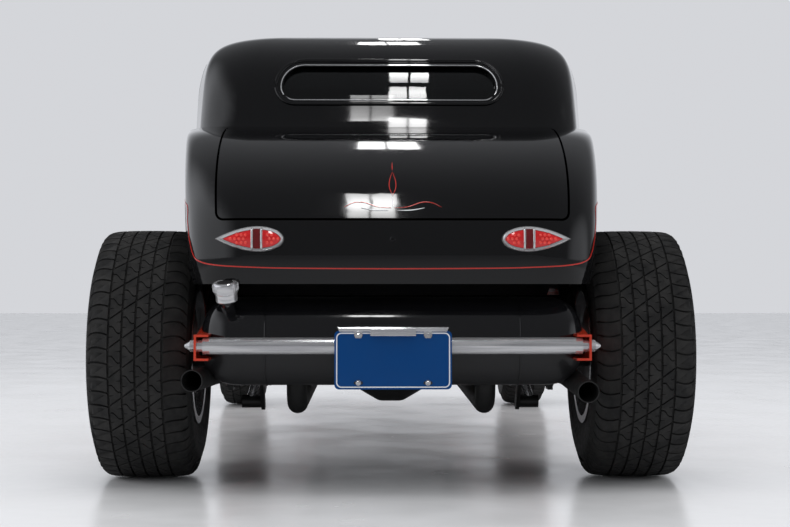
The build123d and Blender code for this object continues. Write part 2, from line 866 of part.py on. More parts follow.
def make_shell():
    """Grille shell, bars and radiator core behind it."""
    back = fwd(hood_front_ahead + hood_gap)
    front = back + shell_depth
    points, bends = shell_points(0)
    hole_points, hole_bends = shell_points(shell_wall)
    opening = rear_prism(hole_points, hole_bends, back - 1, front + 1)
    body = rear_prism(points, bends, back, front)
    rim = body.edges().filter_by(Plane.XZ).group_by(Axis.Y)[-1]
    shell = fillet(rim, 22) - opening
    bars = None
    count = int((hood_front_half - shell_wall) / grille_bar_pitch)
    depth0 = front - 40
    for i in range(-count, count + 1):
        x = i * grille_bar_pitch
        bar = block(x - grille_bar_wall / 2, x + grille_bar_wall / 2, depth0,
                    depth0 + grille_bar_depth, shell_bottom, cowl_top)
        bars = bar if bars is None else bars + bar
    for height in (560, 720, 880):
        bars += block(-hood_front_half, hood_front_half, depth0 - 4, depth0 + 2, height - 4, height + 4)
    bars = bars & opening
    core_points, core_bends = shell_points(22)
    core = rear_prism(core_points, core_bends, back - radiator_depth, back)
    return shell, bars, core


def make_headlamps():
    """Bullet headlamps on posts from the rails, and their lenses."""
    r, deep = headlamp_radius, headlamp_depth
    place_lamp = Pos(headlamp_x, fwd(headlamp_ahead), headlamp_height) * Rot(Z=90)
    bullet = [(0, 0), (0, 26), (46, r * 0.72), (deep - 16, r), (deep, r)]
    cup = revolve(make_face(Polyline(*bullet, (deep, r - 6), (deep - 10, r - 8), (deep - 10, 0),
                                     close=True)), Axis.X)
    lens = revolve(make_face(Polyline((deep - 9.7, 0), (deep - 9.7, r - 9), (deep - 1, r - 9),
                                      (deep + 5, r * 0.6), (deep + 9, r * 0.2), (deep + 9, 0),
                                      close=True)), Axis.X)
    solid_cup = revolve(make_face(Polyline(*bullet, (deep, 0), close=True)), Axis.X)
    x, y = rail_outer(headlamp_post_ahead) - rail_flange / 2, fwd(headlamp_post_ahead)
    foot = rail_top(headlamp_post_ahead) - rail_web / 2
    post = rod((x, y, foot), (x, y, headlamp_height - r * 0.6), headlamp_post_radius)
    post += rod((x, y, foot), (x, y, foot + rail_web / 2 + 7), headlamp_post_radius + 4)
    post = post - rail - place_lamp * solid_cup
    return both(place_lamp * cup + post), both(place_lamp * lens)


def make_hairpins():
    """Hairpin radius rods between the axle and brackets on the rails' outer faces."""
    front = front_axle_y - beam_depth / 2
    back = fwd(hairpin_rear_ahead)
    z = front_axle_z
    pin = block(hairpin_front_x - 7, hairpin_front_x + 7, front - 40, front,
                z - axle_drop + 6, z + hairpin_spread + hairpin_radius + 7)
    for height in (z - hairpin_spread, z + hairpin_spread):
        pin += rod((hairpin_front_x, front - 20, height), (hairpin_rear_x, back, z + 14),
                   hairpin_radius)
    pin += block(rail_outer(hairpin_rear_ahead) - rail_web / 2, hairpin_rear_x + 14, back - 26, back + 26,
                 z - 10, z + 38)
    return both(pin - rail)


def make_rear_links():
    """Four-bar links between the rear axle and the rails."""
    y, z = rear_axle_y, rear_axle_z
    x = link_x
    side = block(x - 7, x + 7, y - 32, y + 32, z - 105, z + 105)
    side -= rod((0, y, z), (700, y, z), axle_tube_radius)
    for low, high in ((z - 88, 318), (z + 88, 372)):
        side += rod((x, y, low), (x, fwd(link_ahead), high), link_radius)
    reach = rail_outer(link_ahead) - rail_flange / 2
    side += block(x - 16, reach, fwd(link_ahead - 24), fwd(link_ahead + 24),
                  rail_middle - 48, rail_middle + 48) - rail
    return both(side)


def make_crossmembers():
    """Front crossmember over the spring, with the grille's shelf, and the rear tube."""
    y = front_axle_y
    reach = rail_outer(wheelbase) - rail_web / 2
    front = block(-reach, reach, y - crossmember_depth / 2, y + crossmember_depth / 2,
                  spring_top, spring_top + crossmember_height)
    front = front - rail - mirrored(rail)
    front += block(-shell_bottom_half + 18, shell_bottom_half - 18,
                   fwd(hood_front_ahead + hood_gap + 12), y, shell_bottom - 20, shell_bottom)
    inside = horn_half_width - rail_web
    rear = rod((-inside, fwd(rear_cross_ahead), rear_cross_height),
               (inside, fwd(rear_cross_ahead), rear_cross_height), rear_cross_radius)
    return front, rear


def make_engine():
    """Engine as one plain block, with its manifolds and the mounts to the rails."""
    engine = block(-engine_half, engine_half, fwd(engine_rear), fwd(engine_front), engine_low,
                   engine_high)
    engine += block(-manifold_half, manifold_half, fwd(manifold_rear), fwd(manifold_front),
                    manifold_height, manifold_height + manifold_depth)
    ahead, z = engine_mount_ahead, engine_mount_height
    reach = rail_outer(ahead) - rail_web / 2
    mount = block(engine_half, reach, fwd(ahead - 25), fwd(ahead + 25), z - 27, z + 27)
    return engine + both(mount - rail)


def make_driveline():
    """Gearbox, bell housing and driveshaft."""
    back = fwd(gearbox_rear)
    joint = fwd(gearbox_front)
    box = block(-105, 105, back, joint, 300, 478)
    bell = Solid.make_cone(120, 165, fwd(engine_rear) - joint,
                           Plane(origin=(0, joint, 392), z_dir=(0, 1, 0)))
    bell = bell & block(-160, 160, joint - 1, fwd(engine_rear), 300, tunnel_height - 8)
    end = rear_axle_y + 60 + pinion_reach
    shaft = rod((0, back + 1, 372), (0, end, rear_axle_z), driveshaft_radius)
    shaft = shaft - block(-200, 200, end - 60, end, 200, 600)
    return box + bell + shaft


def make_seat():
    """Bench seat as one solid, over the tunnel."""
    rear, front, low, high = seat_rear, seat_front, floor_height, seat_height
    line = [(rear, low), (front, low), (front + 16, high - 24), (front - 20, high),
            (rear + 210, high - 32), (rear + 78, seat_back_height), (rear - 32, seat_back_height),
            (rear, rear_floor_height + 12)]
    seat = side_prism(place(line), [4, 20, 30, 20, 60, 50, 40, 4], -seat_half_width, seat_half_width)
    tunnel = block(-tunnel_half_width - body_floor_wall, tunnel_half_width + body_floor_wall,
                   fwd(rear - 50), fwd(front + 50), 300, tunnel_height)
    return seat - tunnel


def make_dash():
    """Dashboard panel across the cabin, against the cowl's sides."""
    panel = block(-700, 700, fwd(cowl_rear), fwd(cowl_rear + dash_depth), dash_low, dash_high)
    return panel & cabin_space


wheel_centre = (steering_wheel_x, fwd(steering_wheel_ahead), steering_wheel_height)
column_foot = (steering_wheel_x, fwd(cowl_ahead - firewall), column_foot_height)
column_run = Vector(*column_foot) - Vector(*wheel_centre)
column_unit = column_run / column_run.length


def make_steering():
    """Column from the firewall, and the wheel's rim, hub and three spokes."""
    start = Vector(*wheel_centre)
    column = rod(tuple(start + column_unit * 36), column_foot, column_radius)
    column += rod(tuple(start + column_unit * 300), tuple(start + column_unit * 480),
                  column_radius + 8)
    plane = Plane(origin=start, z_dir=column_unit, x_dir=(1, 0, 0))
    wheel = Solid.make_torus(steering_wheel_radius, steering_rim_radius, plane)
    wheel += rod(tuple(start - column_unit * 4), tuple(start + column_unit * 33), 30)
    for turn in (90, 210, 330):
        spoke = Pos(steering_wheel_radius / 2, 0, 6) * Box(steering_wheel_radius - 6, 22, 5)
        wheel += plane * Rot(Z=turn) * spoke
    return column - cowl, wheel


def make_tank():
    """Fuel tank: narrower at its floor, with an upright ear on the horn at each end."""
    top, low, half = tank_top, tank_bottom, tank_half_width
    face = [(half - 69, low), (half - 20, low + 79), (half, low + 150), (half, top)]
    face += [(-x, z) for x, z in reversed(face)]
    tank = rear_prism(face, [30, 60, 60, 34, 34, 60, 60, 30], fwd(tank_rear), fwd(tank_front))
    side = [(tank_rear, low), (tank_front, low), (tank_front, top), (tank_rear, top)]
    tank = tank & side_prism(place(side), [58] * 4, -600, 600)
    ahead, outer = tank_ear_ahead, rail_outer(tank_ear_ahead)
    foot = rail_top(ahead) - rail_web / 2
    ear = block(half - 20, outer - 2, fwd(ahead), fwd(ahead + tank_ear_wall), foot, tank_ear_top)
    ear += block(half - 20, outer - 2, fwd(ahead), fwd(ahead + 50), foot, foot + rail_web / 2 + 6)
    return tank + both(ear - rail)


def make_filler():
    """Filler: a stub from the tank's shoulder, an upright neck that leans back, and its cap."""
    top = Vector(-filler_x, fwd(filler_ahead), filler_top)
    way = Vector(-0.10, -0.30, 0.95).normalized()
    base = top - way * filler_neck_length
    neck = rod(tuple(base), tuple(top - way), filler_neck_radius)
    bend = tuple(base + way * filler_stub_radius)
    stub = rod((-filler_x + 10, fwd(filler_stub_start), tank_top - 8), bend, filler_stub_radius)
    cap = rod(tuple(top - way * filler_cap_depth), tuple(top), filler_cap_radius)
    return neck + cap + (stub - tank)


def make_exhaust(tip_x, tip_z):
    """Right exhaust pipe: down from the manifold, under the axle, up and out below the horn."""
    x, ahead = exhaust_x, exhaust_drop_ahead
    rise = fwd(exhaust_rise_ahead)
    points = [(x, fwd(ahead), manifold_height), (x, fwd(ahead), exhaust_low + 22),
              (x, rise, exhaust_low), (x, rise - 2, exhaust_rise),
              (exhaust_out, rise - 20, exhaust_out_height), (tip_x, fwd(-exhaust_end), tip_z)]
    return tube(points, [95, 60, 52, 70], exhaust_radius, exhaust_wall)


def make_plate():
    """Blank plate with four bolt holes, its backing bracket and the lamp housing above it."""
    half, tall, z = plate_width / 2, plate_height / 2, plate_centre_z
    y1 = fwd(-plate_back)
    y0 = y1 - plate_wall
    corners = [(-half, z - tall), (half, z - tall), (half, z + tall), (-half, z + tall)]
    plate = rear_prism(corners, [12] * 4, y0, y1)
    hw, hh = plate_hole_x / 2, plate_hole_z / 2
    back = rear_prism([(-140, z - 66), (140, z - 66), (140, z + 84), (-140, z + 84)], [8] * 4, y1, y1 + 5)
    for x in (-hw, hw):
        for dz in (-hh, hh):
            hole = rod((x, y0 - 10, z + dz), (x, y1 + 20, z + dz), plate_hole_radius)
            plate -= hole
            back -= hole
    bar_y = fwd(-spreader_back)
    for x in (-70, 70):
        back += block(x - 14, x + 14, y1 + 4, bar_y, spreader_height - 18, spreader_height + 18)
    back -= rod((-600, bar_y, spreader_height), (600, bar_y, spreader_height), spreader_radius)
    back += block(-42, 42, fwd(-rear_overhang), y1 + 1, z + tall + 2, z + tall + 8)
    return plate, back


def teardrop(edge):
    """Teardrop outline with its tip outward, moved in by the bezel's edge."""
    x0, x1, z, half = lamp_inner_x + edge, lamp_tip_x - edge * 2.8, lamp_height, lamp_half_height - edge
    shoulder = lamp_inner_x + 76 - edge / 3
    return [(x0, z + half), (shoulder, z + half), (x1, z), (shoulder, z - half), (x0, z - half)]


def make_tail_lamps():
    """Teardrop lamps, tips outward: bezels seated on the tail, with their lenses."""
    edge = lamp_bezel_width
    bends = [lamp_half_height - 2, 70, 7, 70, lamp_half_height - 2]
    bezel = rear_prism(teardrop(0), bends, fwd(-lamp_back), fwd(-lamp_back + 104)) - body_outer
    lens = rear_prism(teardrop(edge), [bends[0] - edge, 66, 5, 66, bends[0] - edge],
                      fwd(-lamp_back - lens_depth), fwd(-lamp_back))
    return both(bezel), both(lens)


os.makedirs("parts", exist_ok=True)


def save(**shapes):
    for node, shape in shapes.items():
        export_step(shape, f"parts/{node}.step")
        print(node, round(shape.volume / 1000), "cm3", len(shape.solids()), "solids", flush=True)


rail = make_rail()
rear_body, cowl = make_lower_body()
door = make_door()
side_pane, rear_pane, screen_pane = make_glass()
save(rear_body=rear_body, cowl=cowl, roof=make_roof(), floor_pan=make_floor(), deck_lid=make_lid(),
     door_right=door, door_left=mirrored(door), door_glass_right=side_pane,
     door_glass_left=mirrored(side_pane), rear_window=rear_pane, windscreen=screen_pane)
front_cross, rear_cross = make_crossmembers()
save(frame_rail_right=rail, frame_rail_left=mirrored(rail), front_crossmember=front_cross,
     rear_crossmember=rear_cross,
     rear_spreader_bar=make_spreader(-spreader_back, spreader_height, horn_half_width),
     front_spreader_bar=make_spreader(front_spreader_ahead, front_spreader_height,
                                      rail_outer(front_spreader_ahead)))
rear_rim = Pos(rear_track / 2, rear_axle_y, rear_axle_z) * make_wheel(
    rear_rim_width, rear_face_offset, spindle_radius + hub_bore_clearance)
rear_tyre = Pos(rear_track / 2, rear_axle_y, rear_axle_z) * make_tyre(
    rear_tyre_diameter, rear_tyre_width, rear_tread_width, rear_rim_width)
front_rim = Pos(front_track / 2, front_axle_y, front_axle_z) * make_wheel(
    front_rim_width, front_face_offset, spindle_radius + hub_bore_clearance)
front_tyre = Pos(front_track / 2, front_axle_y, front_axle_z) * make_tyre(
    front_tyre_diameter, front_tyre_width, front_tread_width, front_rim_width)
knuckle = make_knuckle()
save(rear_rim_right=rear_rim, rear_rim_left=mirrored(rear_rim), rear_tyre_right=rear_tyre,
     rear_tyre_left=mirrored(rear_tyre), front_rim_right=front_rim,
     front_rim_left=mirrored(front_rim), front_tyre_right=front_tyre,
     front_tyre_left=mirrored(front_tyre), knuckle_right=knuckle, knuckle_left=mirrored(knuckle),
     tie_rod=make_tie_rod(), front_axle=make_front_axle(), front_spring=make_front_spring(),
     radius_rods=make_hairpins(), rear_axle=make_rear_axle(), coilovers=both(make_coilover() - rear_cross),
     rear_links=make_rear_links())
hood_top, hood_sides = make_hood()
grille_shell, grille_bars, radiator = make_shell()
headlamps, headlamp_lenses = make_headlamps()
save(hood_right=hood_top, hood_left=mirrored(hood_top), hood_sides=hood_sides,
     grille_shell=grille_shell, grille_bars=grille_bars, radiator=radiator, headlamps=headlamps,
     headlamp_lenses=headlamp_lenses)
column, steering_wheel = make_steering()
tank = make_tank()
plate, plate_bracket = make_plate()
tail_lamps, tail_lamp_lenses = make_tail_lamps()
exhaust = mirrored(make_exhaust(*left_tip)) + make_exhaust(*right_tip)
save(engine_block=make_engine(), driveline=make_driveline(), seat=make_seat(), dashboard=make_dash(),
     steering_column=column, steering_wheel=steering_wheel, fuel_tank=tank,
     filler_cap=make_filler(), exhaust_pipes=exhaust, licence_plate=plate,
     plate_bracket=plate_bracket, tail_lamps=tail_lamps, tail_lamp_lenses=tail_lamp_lenses)
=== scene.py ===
# Hot rod coupe seen from behind: paint, rubber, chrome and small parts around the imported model.
# Metres; +Y is forward, +X the right side, the tyres stand on z = 0.
import bmesh
import bpy
import json
import math
from mathutils import Matrix, Vector
from mathutils.bvhtree import BVHTree

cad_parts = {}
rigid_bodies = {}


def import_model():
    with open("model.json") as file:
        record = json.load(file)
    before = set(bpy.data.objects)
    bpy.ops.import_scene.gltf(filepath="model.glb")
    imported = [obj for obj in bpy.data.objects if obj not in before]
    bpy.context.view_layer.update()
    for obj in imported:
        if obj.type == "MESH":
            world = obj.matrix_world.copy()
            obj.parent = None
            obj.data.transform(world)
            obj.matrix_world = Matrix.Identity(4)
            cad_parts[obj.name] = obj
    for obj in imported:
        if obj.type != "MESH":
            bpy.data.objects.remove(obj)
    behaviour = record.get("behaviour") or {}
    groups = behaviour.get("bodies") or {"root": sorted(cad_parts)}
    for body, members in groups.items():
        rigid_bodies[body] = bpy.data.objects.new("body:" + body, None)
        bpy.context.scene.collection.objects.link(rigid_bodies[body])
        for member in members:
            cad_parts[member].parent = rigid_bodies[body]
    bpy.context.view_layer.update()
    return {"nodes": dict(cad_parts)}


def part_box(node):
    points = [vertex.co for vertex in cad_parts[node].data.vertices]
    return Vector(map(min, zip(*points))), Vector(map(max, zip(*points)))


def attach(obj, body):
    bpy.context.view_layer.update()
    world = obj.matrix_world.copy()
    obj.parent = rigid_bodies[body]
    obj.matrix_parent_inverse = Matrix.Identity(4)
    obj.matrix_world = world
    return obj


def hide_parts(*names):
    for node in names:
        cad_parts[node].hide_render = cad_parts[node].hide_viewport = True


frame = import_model()
nodes = frame["nodes"]
scene = bpy.context.scene
scene.view_settings.view_transform = "Standard"
print("frame loaded:", len(nodes), "nodes")


def middle(node):
    low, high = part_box(node)
    return (low + high) / 2


rearAxle = middle("rear_tyre_right")
bothSides = ((1, "right"), (-1, "left"))


# Camera: low behind the car, pointing a little up and to the right
cameraSet = {"place": (-0.060, -5.8125, 0.539), "yaw": 0.93, "pitch": 0.99, "lens": 70.0, "sensor": 36.0}


def addCamera():
    data = bpy.data.cameras.new("photoCamera")
    data.lens = cameraSet["lens"]
    data.sensor_width = cameraSet["sensor"]
    camera = bpy.data.objects.new("photoCamera", data)
    camera.location = cameraSet["place"]
    camera.rotation_euler = (math.radians(90 + cameraSet["pitch"]), 0, -math.radians(cameraSet["yaw"]))
    scene.collection.objects.link(camera)
    scene.camera = camera


addCamera()


# Materials: patterns read Object coordinates, which are metres on the car itself
def newMaterial(name, colour, roughness, metallic=0.0, **sockets):
    material = bpy.data.materials.new(name)
    material.use_nodes = True
    shader = material.node_tree.nodes["Principled BSDF"]
    shader.inputs["Base Color"].default_value = (*colour, 1.0)
    shader.inputs["Roughness"].default_value = roughness
    shader.inputs["Metallic"].default_value = metallic
    for socket, value in sockets.items():
        shader.inputs[socket.replace("_", " ")].default_value = value
    material.diffuse_color = (*colour, 1.0)
    return material


def shaderOf(material):
    return material.node_tree.nodes["Principled BSDF"]


def addNode(tree, kind, **inputs):
    # an input takes a plain value or another node's output
    node = tree.nodes.new(kind)
    for label, value in inputs.items():
        socket = node.inputs[label.replace("_", " ")]
        if isinstance(value, bpy.types.NodeSocket):
            tree.links.new(value, socket)
        else:
            socket.default_value = value
    return node


def objectPlace(tree):
    return addNode(tree, "ShaderNodeTexCoord").outputs["Object"]


def objectAxis(tree, axis):
    return addNode(tree, "ShaderNodeSeparateXYZ", Vector=objectPlace(tree)).outputs[axis]


def mapped(tree, value, start, end, low=0.0, high=1.0, smooth=False):
    span = addNode(tree, "ShaderNodeMapRange", Value=value, From_Min=start, From_Max=end, To_Min=low,
                   To_Max=high)
    if smooth:
        span.interpolation_type = "SMOOTHSTEP"
    return span.outputs["Result"]


def combined(tree, first, second, operation="MULTIPLY"):
    result = tree.nodes.new("ShaderNodeMath")
    result.operation = operation
    tree.links.new(first, result.inputs[0])
    tree.links.new(second, result.inputs[1])
    return result.outputs["Value"]


def mixShaders(tree, factor, first, second):
    mixed = addNode(tree, "ShaderNodeMixShader", Fac=factor)
    tree.links.new(first.outputs[0], mixed.inputs[1])
    tree.links.new(second.outputs[0], mixed.inputs[2])
    return mixed


def noiseOn(material, scale, detail=3.0, stretch=(1, 1, 1)):
    tree = material.node_tree
    mapping = addNode(tree, "ShaderNodeMapping", Vector=objectPlace(tree), Scale=stretch)
    noise = addNode(tree, "ShaderNodeTexNoise", Vector=mapping.outputs["Vector"], Scale=scale, Detail=detail)
    return noise.outputs["Fac"]


def bumpFrom(material, height, distance, strength=0.5):
    tree = material.node_tree
    bump = addNode(tree, "ShaderNodeBump", Height=height, Distance=distance, Strength=strength)
    tree.links.new(bump.outputs["Normal"], shaderOf(material).inputs["Normal"])


def toneFrom(material, factor, low, high, start=0.35, end=0.65):
    tree = material.node_tree
    ramp = addNode(tree, "ShaderNodeValToRGB", Fac=factor)
    stops = ramp.color_ramp.elements
    stops[0].position, stops[0].color = start, (*low, 1.0)
    stops[1].position, stops[1].color = end, (*high, 1.0)
    tree.links.new(ramp.outputs["Color"], shaderOf(material).inputs["Base Color"])


def roughFrom(material, factor, low, high):
    tree = material.node_tree
    tree.links.new(mapped(tree, factor, 0.3, 0.7, low, high), shaderOf(material).inputs["Roughness"])


def grained(material, scale, distance, low, high, stretch=(1, 1, 1), strength=0.5):
    noise = noiseOn(material, scale, stretch=stretch)
    bumpFrom(material, noise, distance, strength)
    roughFrom(material, noiseOn(material, scale / 12, stretch=stretch), low, high)
    return material


def makeBodyPaint():
    paint = newMaterial("glossBlackPaint", (0.002, 0.002, 0.0024), 0.06, Coat_Weight=0.2, Coat_Roughness=0.02)
    return grained(paint, 260, 0.00003, 0.04, 0.08, strength=0.2)


# painted shade on the frame: black where the rails rise between the body and the tank, where they sit in
# shadow: Z and Y of its edges
paintedShadeSet = {"up": (0.455, 0.470), "behind": (-1.15, -1.25), "colour": (0.006, 0.006, 0.006, 1)}


def makeFramePaint():
    paint = newMaterial("orangeFramePaint", (0.56, 0.040, 0.014), 0.16, Coat_Weight=0.5, Coat_Roughness=0.05)
    toneFrom(paint, noiseOn(paint, 9), (0.50, 0.032, 0.011), (0.60, 0.048, 0.018))
    tree, colour = paint.node_tree, shaderOf(paint).inputs["Base Color"]
    up = mapped(tree, objectAxis(tree, "Z"), *paintedShadeSet["up"])
    behind = mapped(tree, objectAxis(tree, "Y"), *paintedShadeSet["behind"])
    # painted shade: the orange fades to black above and behind those edges
    mixed = tree.nodes.new("ShaderNodeMix")
    mixed.data_type = "RGBA"
    tree.links.new(combined(tree, up, behind), mixed.inputs["Factor"])
    tree.links.new(colour.links[0].from_socket, mixed.inputs["A"])
    mixed.inputs["B"].default_value = paintedShadeSet["colour"]
    tree.links.new(mixed.outputs["Result"], colour)
    return paint


def makePolished():
    # drawn bar stock: faint streaks along X
    metal = newMaterial("polishedAluminium", (0.80, 0.80, 0.81), 0.16, 0.78)
    grained(metal, 420, 0.00004, 0.10, 0.22, (0.15, 1, 1))
    toneFrom(metal, noiseOn(metal, 70, 2, (0.05, 1, 1)), (0.62, 0.62, 0.64), (0.92, 0.92, 0.93), 0.4, 0.6)
    return metal


def makeRubber():
    rubber = newMaterial("tyreRubber", (0.014, 0.014, 0.014), 0.72)
    grained(rubber, 900, 0.0003, 0.62, 0.86)
    toneFrom(rubber, noiseOn(rubber, 26, 6), (0.010, 0.010, 0.010), (0.022, 0.021, 0.020))
    return rubber


def makeLeather():
    leather = newMaterial("seatLeather", (0.16, 0.10, 0.065), 0.45)
    tree = leather.node_tree
    cells = addNode(tree, "ShaderNodeTexVoronoi", Vector=objectPlace(tree), Scale=420)
    bumpFrom(leather, cells.outputs["Distance"], 0.0008, 0.4)
    toneFrom(leather, noiseOn(leather, 14, 5), (0.12, 0.072, 0.045), (0.20, 0.13, 0.085))
    return leather


def makeTankPaint():
    # dull with road dust below, glossy from 0.14 above the tank's foot
    paint = newMaterial("tankPaint", (0.006, 0.006, 0.007), 0.12, Coat_Weight=0.4, Coat_Roughness=0.04)
    tree, foot = paint.node_tree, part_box("fuel_tank")[0].z
    rough = mapped(tree, objectAxis(tree, "Z"), foot + 0.10, foot + 0.14, 0.55, 0.09)
    tree.links.new(rough, shaderOf(paint).inputs["Roughness"])
    bumpFrom(paint, noiseOn(paint, 60), 0.0004, 0.3)
    return paint


def makeCore():
    core = newMaterial("radiatorCore", (0.05, 0.05, 0.05), 0.5, 0.6)
    tree = core.node_tree
    wave = addNode(tree, "ShaderNodeTexWave", Vector=objectPlace(tree), Scale=95)
    wave.bands_direction = "Z"
    bumpFrom(core, wave.outputs["Fac"], 0.002, 0.8)
    toneFrom(core, wave.outputs["Fac"], (0.01, 0.01, 0.01), (0.10, 0.10, 0.10))
    return core


def makeGlass(name, colour):
    glass = newMaterial(name, colour, 0.02, Transmission_Weight=0.9, IOR=1.5)
    roughFrom(glass, noiseOn(glass, 6, 5), 0.02, 0.04)
    return glass


finish = {
    "paint": makeBodyPaint(),
    "frame": makeFramePaint(),
    "rubber": makeRubber(),
    "leather": makeLeather(),
    "tank": makeTankPaint(),
    "core": makeCore(),
    "tinted": makeGlass("tintedGlass", (0.012, 0.014, 0.015)),
    "clear": makeGlass("clearLens", (0.9, 0.92, 0.92)),
    "chrome": grained(newMaterial("chromePlate", (0.90, 0.90, 0.91), 0.05, 0.82), 180, 0.00002, 0.03, 0.08),
    "polished": makePolished(),
    "satin": grained(newMaterial("satinBlackPaint", (0.012, 0.012, 0.012), 0.4), 300, 0.0002, 0.32, 0.5),
    "matt": grained(newMaterial("mattBlackCoating", (0.014, 0.014, 0.014), 0.6), 500, 0.0003, 0.5, 0.72),
    "cast": grained(newMaterial("castMetal", (0.045, 0.045, 0.046), 0.55, 0.4), 260, 0.0006, 0.45, 0.7),
    "wheel": grained(newMaterial("wheelCasting", (0.58, 0.58, 0.59), 0.25, 0.92), 90, 0.00002, 0.20, 0.28),
    "trim": grained(newMaterial("blackTrim", (0.02, 0.02, 0.02), 0.5), 700, 0.0003, 0.42, 0.6),
    "redLens": grained(newMaterial("redLens", (0.74, 0.010, 0.012), 0.12, Coat_Weight=1.0,
                                   Coat_Roughness=0.03), 90, 0.0002, 0.08, 0.16),
    "redBead": grained(newMaterial("redBead", (0.92, 0.060, 0.045), 0.10, Coat_Weight=1.0),
                       90, 0.0001, 0.08, 0.14),
    "redDark": grained(newMaterial("redDark", (0.16, 0.002, 0.004), 0.14, Coat_Weight=1.0),
                       90, 0.0001, 0.10, 0.16),
    "plate": grained(newMaterial("plateBlue", (0.000, 0.052, 0.205), 0.22, Specular_IOR_Level=0.25),
                     240, 0.00003, 0.18, 0.26),
    "white": grained(newMaterial("whiteLinePaint", (0.80, 0.82, 0.84), 0.35), 300, 0.00005, 0.3, 0.42),
    "redLine": grained(newMaterial("redLinePaint", (0.50, 0.022, 0.014), 0.2, Coat_Weight=0.6), 200,
                       0.00004, 0.15, 0.25),
}
nodeFinish = {
    "paint": ("rear_body", "cowl", "roof", "deck_lid", "door_right", "door_left", "hood_right",
              "hood_left", "hood_sides", "grille_shell", "dashboard"),
    "frame": ("frame_rail_right", "frame_rail_left", "front_crossmember"),
    "polished": ("rear_spreader_bar", "front_spreader_bar", "plate_bracket"),
    "chrome": ("front_axle", "radius_rods", "tie_rod", "grille_bars", "headlamps", "steering_column",
               "tail_lamps"),
    "satin": ("floor_pan", "knuckle_right", "knuckle_left", "front_spring", "rear_axle", "rear_links",
              "rear_crossmember"),
    "matt": ("exhaust_pipes",),
    "cast": ("engine_block", "driveline"),
    "wheel": ("rear_rim_right", "rear_rim_left", "front_rim_right", "front_rim_left"),
    "tinted": ("door_glass_right", "door_glass_left", "rear_window", "windscreen"),
    "clear": ("headlamp_lenses",),
    "core": ("radiator",),
    "tank": ("fuel_tank",),
    "plate": ("licence_plate",),
    "trim": ("steering_wheel",),
}


def dressNodes():
    for key, names in nodeFinish.items():
        for name in names:
            mesh = nodes[name].data
            mesh.materials.clear()
            mesh.materials.append(finish[key])


dressNodes()
print("frame dressed")


# Mesh helpers
def addMesh(name, verts, faces, material, smoothAngle=35):
    mesh = bpy.data.meshes.new(name)
    mesh.from_pydata([tuple(v) for v in verts], [], faces)
    work = bmesh.new()
    work.from_mesh(mesh)
    bmesh.ops.remove_doubles(work, verts=work.verts, dist=0.00002)
    bmesh.ops.recalc_face_normals(work, faces=work.faces)
    work.to_mesh(mesh)
    work.free()
    mesh.materials.append(finish[material])
    obj = bpy.data.objects.new(name, mesh)
    scene.collection.objects.link(obj)
    roundOff(obj, smoothAngle)
    return obj


def roundOff(obj, smoothAngle=35):
    mesh = obj.data
    mesh.polygons.foreach_set("use_smooth", [True] * len(mesh.polygons))
    work = bmesh.new()
    work.from_mesh(mesh)
    for edge in work.edges:
        if len(edge.link_faces) != 2 or edge.calc_face_angle(0) > math.radians(smoothAngle):
            edge.smooth = False
    work.to_mesh(mesh)
    work.free()


def ringFaces(rings, size, ends="capped", first=0):
    # faces between rings of points; the end rings are capped, open, or joined to each other
    faces = []
    for i in range(rings if ends == "joined" else rings - 1):
        j = (i + 1) % rings
        for k in range(size):
            m = (k + 1) % size
            faces.append((i * size + k, i * size + m, j * size + m, j * size + k))
    if ends == "capped":
        faces.append(tuple(range(size)))
        faces.append(tuple((rings - 1) * size + k for k in range(size)))
    return [tuple(first + k for k in face) for face in faces]


def aboutX(along, radius, angle):
    return Vector((along, radius * math.cos(angle), radius * math.sin(angle)))


def turned(profile, segments, place):
    # points and faces of a closed (along, radius) profile turned about X, then placed
    verts = []
    for i in range(segments):
        angle = 2 * math.pi * i / segments
        verts += [place @ aboutX(along, radius, angle) for along, radius in profile]
    return verts, ringFaces(segments, len(profile), "joined")


def facing(place, way):
    # matrix that puts +X along a direction at a place
    turn = Vector((1, 0, 0)).rotation_difference(Vector(way).normalized())
    return Matrix.Translation(place) @ turn.to_matrix().to_4x4()


def smoothRoute(points, samples, closed=False):
    # points along a smooth curve through the given ones
    points = [Vector(p) for p in points]
    count = len(points)
    route = []
    for i in range(count if closed else count - 1):
        if closed:
            a, b, c, d = (points[(i + k) % count] for k in (-1, 0, 1, 2))
        else:
            a, b, c, d = (points[min(max(i + k, 0), count - 1)] for k in (-1, 0, 1, 2))
        for step in range(samples):
            t = step / samples
            route.append(0.5 * (2 * b + (c - a) * t + (2 * a - 5 * b + 4 * c - d) * t * t
                                + (3 * b - a - 3 * c + d) * t ** 3))
    if not closed:
        route.append(points[-1])
    return route


def surfaceOf(name):
    # search tree of a CAD node, to lay things on its skin
    mesh = nodes[name].data
    verts = [v.co.copy() for v in mesh.vertices]
    return BVHTree.FromPolygons(verts, [tuple(p.vertices) for p in mesh.polygons])


def stripeOn(name, skin, guesses, width, material, body, lift=0.0014, root=0.0006, taper=0.0):
    # a painted line: a thin closed band laid on the skin nearest to the guesses
    laid = [skin.find_nearest(p)[:2] for p in guesses]
    verts = []
    count = len(laid)
    ways = [-normal if normal.dot(guess - place) < 0 else normal
            for (place, normal), guess in zip(laid, guesses)]
    for i, (place, _) in enumerate(laid):
        run = laid[min(i + 1, count - 1)][0] - laid[max(i - 1, 0)][0]
        nearby = ways[max(i - 4, 0):i + 5]  # their mean keeps small facets from twisting the band
        normal = sum(nearby, Vector((0, 0, 0))).normalized()
        across = normal.cross(run).normalized()
        share = 1 - taper * abs(2 * i / (count - 1) - 1) ** 1.6
        half = across * (width / 2 * max(share, 0.08))
        verts += [place - half + normal * lift, place + half + normal * lift,
                  place + half - normal * root, place - half - normal * root]
    band = addMesh(name, verts, ringFaces(count, 4), material)
    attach(band, body)
    return band


